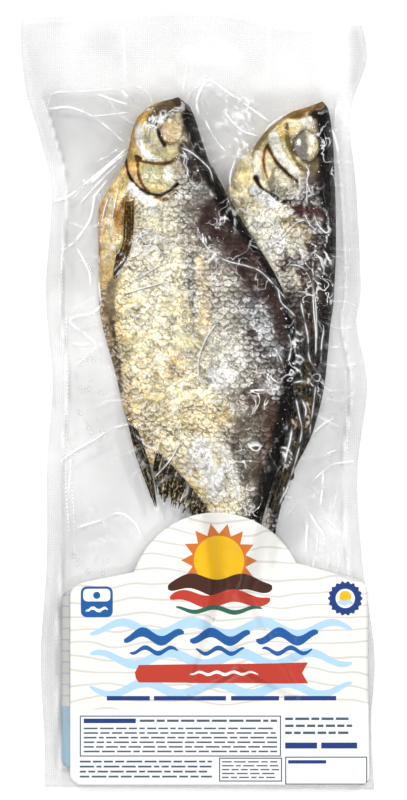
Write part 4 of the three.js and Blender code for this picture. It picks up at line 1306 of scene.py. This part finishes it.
def buildPouch(material):
    outline, slot = pouchOutline(), slotOutline()

    def isFree(x, y):
        inside = isInside(outline, x, y) & (distanceTo(closed(outline), x, y, 1) > 0.5)
        return inside & ~isInside(slot, x, y) & (distanceTo(closed(slot), x, y, 1) > 0.4)

    ready = readyRidges()
    raised = ridgePoints(ready)
    raised = raised[isFree(*raised.T)]
    beside = np.zeros(wideX.shape, bool)
    beside[nearestCell(raised)] = True
    gridPlaces = np.column_stack([wideX.ravel(), wideY.ravel()])
    column, row = np.meshgrid(np.arange(film["across"]), np.arange(film["along"]))
    free = isFree(*gridPlaces.T)
    flat = (overFilm - borderHeight(wideX, wideY) < 0.25).ravel()
    sides = []
    for isFront, label in ((True, frontStickerOutline()), (False, rearStickerOutline())):
        underLabel = isInside(label, *gridPlaces.T) & (distanceTo(closed(label), *gridPlaces.T, 3) > 2.4)
        every = np.where(underLabel, 4, np.where(flat | (not isFront), 2, 1))  # fewer points where it is flat
        keep = free & (column.ravel() % every == 0) & (row.ravel() % every == 0)
        inner = np.vstack([gridPlaces[keep & ~beside.ravel()], raised]) if isFront else gridPlaces[keep]
        places, triangles, _ = fillOutline(outline, [slot], inner)
        x, y = places.T
        rim = smoothStep(distanceTo(closed(outline), x, y, 3), 0, 2)
        rim *= smoothStep(distanceTo(closed(slot), x, y, 3), 0, 2)
        border = borderHeight(x, y)
        covered = insideLabel(label, x, y, 2)
        if isFront:
            lift, crestWhiteAndHighlight, flankShade = frontWrinkles(ready, x, y)
            crestWhiteAndHighlight, flankShade = crestWhiteAndHighlight * (1 - covered) * rim, flankShade * (1 - covered) * rim
            height = sampleGrid(overFilm, x, y) + lift * (1 - covered) - film["underLabel"] * covered
            height = border + np.maximum(height - border, film["leastGap"]) * rim
        else:
            height = sampleGrid(underFilm, x, y) + film["underLabel"] * covered
            height = border - np.maximum(border - height, film["leastGap"]) * rim
            triangles = triangles[:, ::-1]
        sides.append((np.column_stack([places, height]), triangles))
    (front, frontFaces), (back, backFaces) = sides
    points = np.vstack([front, back])
    piece = makePiece("clearPouch", points, np.vstack([frontFaces, backFaces + len(front)]), material)
    addValues(piece.data, filmTones(outline, points, len(front), crestWhiteAndHighlight, flankShade))
    merge = piece.modifiers.new("rim", "WELD")
    merge.merge_threshold = 0.004 * mm
    settle(piece)
    piece.data.set_sharp_from_angle(angle=math.radians(100))  # only at the cut edges, where the films meet
    print("clearPouch triangles", len(piece.data.polygons))
    return piece


pouchFilm = clearFilmMaterial()
pouchPiece = buildPouch(pouchFilm)


# Air caught in the film: beads along the weld, and small rings where the two films touch.
trappedAir = {
    "routes": [[(64, 246), (62, 268), (63, 292)],
               [(66, 300), (67, 340), (68, 380), (67, 430), (66, 480), (69, 530)],
               [(71, 452), (72, 480), (74, 512), (75, 560)], [(345, 372), (346, 410), (347, 452)]],
    "pitch": 1.7, "beadSize": 0.34,
    "patches": [((95, 378), (18, 20)), ((92, 566), (20, 12)), ((88, 430), (16, 20)), ((338, 430), (10, 40))],
    "rings": 12, "ringSize": 0.85, "seed": 12,
}


def airTree(name, isRing):  # small shapes of film on the points of a mesh, each of its own size
    tree = bpy.data.node_groups.new(name, "GeometryNodeTree")
    for label, kind in (("Geometry", "Geometry"), ("Pitch", "Float"), ("Size", "Float"), ("Seed", "Int"),
                        ("Material", "Material")):
        tree.interface.new_socket(label, in_out="INPUT", socket_type="NodeSocket" + kind)
    tree.interface.new_socket("Geometry", in_out="OUTPUT", socket_type="NodeSocketGeometry")
    given = addNode(tree, "NodeGroupInput").outputs
    if isRing:
        points, low, high = given["Geometry"], (0.5, 0.5, 0.8), (1.4, 1.4, 1.0)
        hoop = addNode(tree, "GeometryNodeCurvePrimitiveCircle",
                       {"Resolution": 14}, {"Radius": given["Size"]})
        wire = addNode(tree, "GeometryNodeCurvePrimitiveCircle", {"Resolution": 5, "Radius": 0.11 * mm})
        shape = addNode(tree, "GeometryNodeCurveToMesh", {}, {"Curve": hoop,
                                                              "Profile Curve": wire})
    else:
        low, high = (0.5, 0.8, 0.3), (1.1, 2.4, 0.5)
        line = addNode(tree, "GeometryNodeMeshToCurve", {}, {"Mesh": given["Geometry"]})
        points = addNode(tree, "GeometryNodeResampleCurve", {"mode": "LENGTH"},
                         {"Curve": line, "Length": given["Pitch"]})
        shape = addNode(tree, "GeometryNodeMeshIcoSphere", {"Subdivisions": 2}, {"Radius": given["Size"]})
    scales = addNode(tree, "FunctionNodeRandomValue", {"data_type": "FLOAT_VECTOR", 0: low, 1: high},
                     {"Seed": given["Seed"]})
    tangent = addNode(tree, "GeometryNodeInputTangent")
    turned = addNode(tree, "FunctionNodeAlignRotationToVector", {"axis": "Y"}, {"Vector": tangent})
    placed = addNode(tree, "GeometryNodeInstanceOnPoints", {},
                     {"Points": points, "Instance": shape, "Rotation": turned, "Scale": scales})
    real = addNode(tree, "GeometryNodeRealizeInstances", {}, {"Geometry": placed})
    painted = addNode(tree, "GeometryNodeSetMaterial", {}, {"Geometry": real,
                                                            "Material": given["Material"]})
    addNode(tree, "NodeGroupOutput", {}, {"Geometry": painted})
    return tree


def buildAir(name, isRing, places, edges, size):
    points = np.column_stack([places, sampleGrid(overFilm, *places.T) + 0.15]) * mm
    mesh = bpy.data.meshes.new(name)
    mesh.from_pydata(points, edges, [])
    piece = placeObject(name, mesh)
    tree = airTree(name, isRing)
    modifier = piece.modifiers.new(name, "NODES")
    modifier.node_group = tree
    sockets = {item.name: item.identifier for item in tree.interface.items_tree if item.in_out == "INPUT"}
    inputs = {"Pitch": trappedAir["pitch"] * mm, "Size": size * mm, "Seed": trappedAir["seed"],
              "Material": pouchFilm}
    for label, value in inputs.items():
        modifier[sockets[label]] = value
    mesh = settle(piece).data
    mesh.polygons.foreach_set("use_smooth", np.ones(len(mesh.polygons), bool))
    tones = {"haze": 0.25 if isRing else 0.9, "fold": 0.15, "cling": 0, "emboss": 0}
    addValues(mesh, {label: np.full(len(mesh.vertices), value) for label, value in tones.items()})
    print(name, "triangles", len(mesh.loop_triangles))
    return piece


def buildBeads():
    places, edges = np.zeros((0, 2)), []
    for route in trappedAir["routes"]:
        line = curveThrough(fromPhoto(route), 1.0)
        edges += [(len(places) + k, len(places) + k + 1) for k in range(len(line) - 1)]
        places = np.vstack([places, line])
    return buildAir("sealBeads", False, places, edges, trappedAir["beadSize"])


def buildRings():
    draw = np.random.default_rng(trappedAir["seed"])
    places = []
    for centre, reach in trappedAir["patches"]:
        offsets = draw.uniform(-1, 1, (trappedAir["rings"], 2)) * np.array(reach) * photo["scale"]
        places.append(fromPhoto([centre]) + offsets)
    return buildAir("airRings", True, np.vstack(places), [], trappedAir["ringSize"])


airPieces = [buildBeads(), buildRings()]


# The stickers. Print is fields of flat colour, cut into the sticker's own mesh.

def disc(x, y, radius, lobes=0, depth=0.0, count=48):
    angles = np.linspace(0, 2 * math.pi, count, endpoint=False)
    reach = radius * (1 + depth * np.cos(lobes * angles))
    return np.column_stack([x + reach * np.cos(angles), y + reach * np.sin(angles)])


def box(left, top, right, bottom):
    return [(left, top), (left, bottom), (right, bottom), (right, top)]


def framedBox(left, top, right, bottom, fill, rule=1.2):
    inner = box(left + rule, top + rule, right - rule, bottom - rule)
    return [(box(left, top, right, bottom), "bar"), (inner, fill)]


def waveBand(left, right, y, thickness, height, length, phase=0.0):
    x = np.linspace(left, right, int((right - left) / 3) + 2)
    swing = y + height * np.sin(2 * math.pi * x / length + phase)
    swell = thickness / 2 * np.sin(math.pi * (x - left + 0.3) / (right - left + 0.6)) ** 0.3
    return np.vstack([np.column_stack([x, swing - swell]), np.column_stack([x, swing + swell])[::-1]])


def sunRays(x, y, inner, outer, count):
    angles = np.linspace(0, 2 * math.pi, 2 * count, endpoint=False)
    reach = np.where(np.arange(2 * count) % 2 == 0, outer, inner)
    return np.column_stack([x + reach * np.cos(angles), y + reach * np.sin(angles)])


def fineBars(left, top, right, rows, pitch, thick, seed, words=5):  # rows of short bars, where print would be
    draw = np.random.default_rng(seed)
    bars = []
    for row in range(rows):
        x, y = left, top + row * pitch
        while x < right - 4:
            width = min(draw.uniform(5, 4 + 60 / words), right - x)
            bars.append((box(x, y, x + width, y + thick), "bar"))
            x += width + 2.2
    return bars


inks = {"paper": "#E5E3DE", "lowPaper": "#E8EAEB", "blue": "#1B5596", "darkBlue": "#1F3878",
        "paleBlue": "#A9CBE2", "red": "#B53A2C", "yellow": "#E2B016", "orange": "#C56C2A", "brown": "#43261C",
        "green": "#2A5F4D", "bar": "#4C5763", "white": "#EDEDEC"}


def frontPrint():  # shapes in pixels of the photograph, from the lowest to the topmost
    shapes = [(box(60, 709, 380, 800), "lowPaper")]
    for row, shift in enumerate((0.0, 2.1, 4.2)):
        shapes.append((waveBand(90, 352, 628 + 30 * row, 11, 6, 70, shift), "paleBlue"))
    shapes += [(sunRays(219, 560, 27, 38, 14), "orange"), (disc(219, 560, 25), "yellow")]
    shapes += [(waveBand(168, 272, 584, 17, 3.5, 52, 0.6), "brown"),
               (waveBand(170, 270, 598, 13, 3.5, 52, 1.6), "red"),
               (waveBand(176, 262, 609, 5, 2.5, 40, 2.4), "green")]
    shapes += [(roundedBox(81, 586, 113, 617, 6), "blue"), (roundedBox(83.5, 588.5, 110.5, 601, 4), "white"),
               (waveBand(86, 108, 609, 3.4, 1.6, 12), "white"), (disc(97, 595, 3.6), "blue")]
    shapes += [(disc(345, 598, 16.4, 18, 0.06, 108), "darkBlue"), (disc(345, 598, 9.6), "white"),
               (disc(345, 596.5, 6.0), "yellow"), (waveBand(337, 353, 602, 5, 1, 9), "paleBlue")]
    for start, end, lift in ((124, 184, 0), (190, 250, 1.2), (256, 318, 2.6)):
        shapes.append((waveBand(start, end, 636, 10, 4.5, 38, lift), "blue"))
        shapes.append((waveBand(start + 6, end - 6, 650, 5, 3, 26, lift + 1), "blue"))
    ribbon = [(135, 672), (139, 664.5), (308, 662), (302, 672.5), (308, 683), (139, 682), (136, 678)]
    shapes += [(ribbon, "red"), (waveBand(190, 258, 672.5, 3.2, 1.4, 17), "white")]
    for left, right in ((107, 150), (154, 226), (231, 279), (284, 336)):
        shapes.append((box(left, 695.5, right, 700), "darkBlue"))
    shapes += framedBox(80, 715, 281, 756, "lowPaper") + [(box(84, 718, 136, 722.6), "darkBlue")]
    shapes += fineBars(84, 727, 277, 6, 4.6, 1.7, 5) + fineBars(140, 719, 277, 1, 5, 2.4, 9)
    shapes += fineBars(80, 760, 212, 4, 5.0, 1.9, 6)
    shapes += framedBox(219, 757, 282, 781, "lowPaper") + fineBars(222, 760.5, 279, 5, 3.9, 1.4, 7, 7)
    shapes += fineBars(285, 717, 352, 3, 7.0, 2.6, 8, 6)
    shapes += [(box(285, 742, 317, 748), "darkBlue"), (box(321, 742, 357, 748), "darkBlue")]
    return shapes + framedBox(285, 756, 367, 784, "white") + [(box(288, 759.5, 326, 763), "darkBlue")]


def buildSticker(name, outline, prints, filmHeight, lift, material):
    outline = finer(outline, sticker["pitch"])
    low, high = outline.min(axis=0), outline.max(axis=0)
    xs, ys = [np.arange(low[axis] + 1, high[axis], sticker["pitch"]) for axis in (0, 1)]
    x, y = [grid.ravel() for grid in np.meshgrid(xs, ys)]
    keep = isInside(outline, x, y) & (distanceTo(closed(outline), x, y, 1) > 0.6)
    shapes = [finer(fromPhoto(shape), sticker["pitch"]) for shape, _ in prints]
    places, triangles, top = fillOutline(outline, [], np.column_stack([x[keep], y[keep]]), shapes)
    middles = places[triangles].mean(axis=1)
    within = isInside(outline, middles[:, 0], middles[:, 1])
    used, triangles = np.unique(triangles[within], return_inverse=True)
    places, triangles, top = places[used], triangles.reshape(-1, 3), top[within]
    names = ["paper"] + [ink for _, ink in prints]
    colours = np.array([[*hexTriple(inks[ink]), float(ink == "paper")] for ink in names])
    corners = np.repeat(colours[top], 3, axis=0)
    low, high = sorted((lift, lift + math.copysign(sticker["thickness"], lift)))
    height = sampleGrid(filmHeight, *places.T)
    points = np.vstack([np.column_stack([places, height + high]), np.column_stack([places, height + low])])
    edges = np.vstack([triangles[:, [0, 1]], triangles[:, [1, 2]], triangles[:, [2, 0]]]).tolist()
    known = set(map(tuple, edges))
    a, b = np.array([edge for edge in edges if (edge[1], edge[0]) not in known]).T
    count = len(places)
    walls = np.vstack([np.column_stack([a, a + count, b + count]), np.column_stack([a, b + count, b])])
    faces = np.vstack([triangles, triangles[:, ::-1] + count, walls])
    tints = np.vstack([corners, corners, np.tile(colours[0], (3 * len(walls), 1))])
    piece = makePiece(name, points, faces, material)
    addColours(piece.data, "ink", tints, "CORNER")
    print(name, "triangles", len(faces))
    return piece


frontPaper = printedLabelMaterial("varnishedPaperSticker", "#B4B0AA", 3.0, 7.0)
rearPaper = printedLabelMaterial("backPaperSticker", "#7FAED6", 2.4, 0.0)
frontLabelPiece = buildSticker("frontSticker", frontStickerOutline(), frontPrint(), overFilm,
                               sticker["lift"], frontPaper)
rearLabelPiece = buildSticker("rearSticker", rearStickerOutline(), [(box(0, 706, 400, 800), "paleBlue")],
                              underFilm, -sticker["lift"], rearPaper)
print("stickers made")

for piece in [frontBody, rearBody]:
    handOver(piece, "pouch")
for piece in finPieces:
    handOver(piece, "pouch")
for piece in eyePieces:
    handOver(piece, "pouch")
for piece in [pouchPiece] + airPieces:
    handOver(piece, "pouch")
handOver(frontLabelPiece, "front_label")
handOver(rearLabelPiece, "back_label")


# The setting: a plain white floor, soft studio lights and a camera that looks straight down.

studio = {"floor": 1600, "cameraHeight": 2200, "cameraMiddle": (2.6, -0.34), "pixelsHigh": 800, "sensor": 36,
          "farthest": 10000, "roomLight": 0.06}
softboxes = [
    {"name": "keySoftbox", "from": (-620, 700, 800), "size": (130, 130), "power": 4.6},
    {"name": "sideSoftbox", "from": (700, 540, 820), "size": (130, 130), "power": 3.6},
    {"name": "lowSoftbox", "from": (380, -760, 880), "size": (130, 130), "power": 1.8},
    {"name": "overheadSoftbox", "from": (0, 0, 1500), "size": (900, 900), "power": 13.0, "mirrored": False},
]
ring = {"count": 8, "radius": 850, "height": 780, "start": 0.39, "size": (420, 40), "power": 0.9}
for number in range(ring["count"]):
    angle = ring["start"] + number * 2 * math.pi / ring["count"]
    around = (ring["radius"] * math.cos(angle), ring["radius"] * math.sin(angle), ring["height"])
    softboxes.append({"name": f"ringStrip{number}", "from": around, "size": ring["size"],
                      "power": ring["power"]})


def buildFloor():
    # Matt painted board: plain white with a faint tooth.
    material, tree, place = startMaterial("whitePaintedBoard")
    tooth = addNode(tree, "ShaderNodeTexNoise", {"Scale": perMillimetre(3)}, {"Vector": place})
    tone = addNode(tree, "ShaderNodeMix",
                   {"data_type": "RGBA", 6: hexColour("#FBFBFB"), 7: hexColour("#FFFFFF")}, {"Factor": tooth})
    shader = addNode(tree, "ShaderNodeBsdfPrincipled", {"Roughness": 0.9}, {"Base Color": tone.outputs[2]})
    addNode(tree, "ShaderNodeOutputMaterial", {}, {"Surface": shader})
    half = studio["floor"]
    corners = [(-half, -half, 0), (half, -half, 0), (half, half, 0), (-half, half, 0)]
    makePiece("floor", corners, [[0, 1, 2, 3]], material, smooth=False)


def addSoftbox(spec):
    light = bpy.data.lights.new(spec["name"], "AREA")
    light.shape = "RECTANGLE"
    light.size, light.size_y = [side * mm for side in spec["size"]]
    light.energy = spec["power"]
    lamp = placeObject(spec["name"], light)
    lamp.location = [side * mm for side in spec["from"]]
    lamp.rotation_euler = (-Vector(spec["from"])).to_track_quat("-Z", "Y").to_euler()
    lamp.visible_glossy = spec.get("mirrored", True)
    lamp.visible_camera = False


def buildStudio():
    scene = bpy.context.scene
    buildFloor()
    for spec in softboxes:
        addSoftbox(spec)
    scene.world = bpy.data.worlds.new("paleRoom")
    scene.world.use_nodes = True
    background = scene.world.node_tree.nodes["Background"]
    background.inputs["Color"].default_value = (1, 1, 1, 1)
    background.inputs["Strength"].default_value = studio["roomLight"]
    camera = placeObject("camera", bpy.data.cameras.new("camera"))
    seenHeight = studio["pixelsHigh"] * photo["scale"]
    camera.data.sensor_width = studio["sensor"]
    camera.data.lens = studio["sensor"] * studio["cameraHeight"] / seenHeight
    camera.data.clip_end = studio["farthest"] * mm
    camera.location = [side * mm for side in (*studio["cameraMiddle"], studio["cameraHeight"])]
    scene.camera = camera
    scene.view_settings.view_transform = "Standard"


buildStudio()
print("studio made")
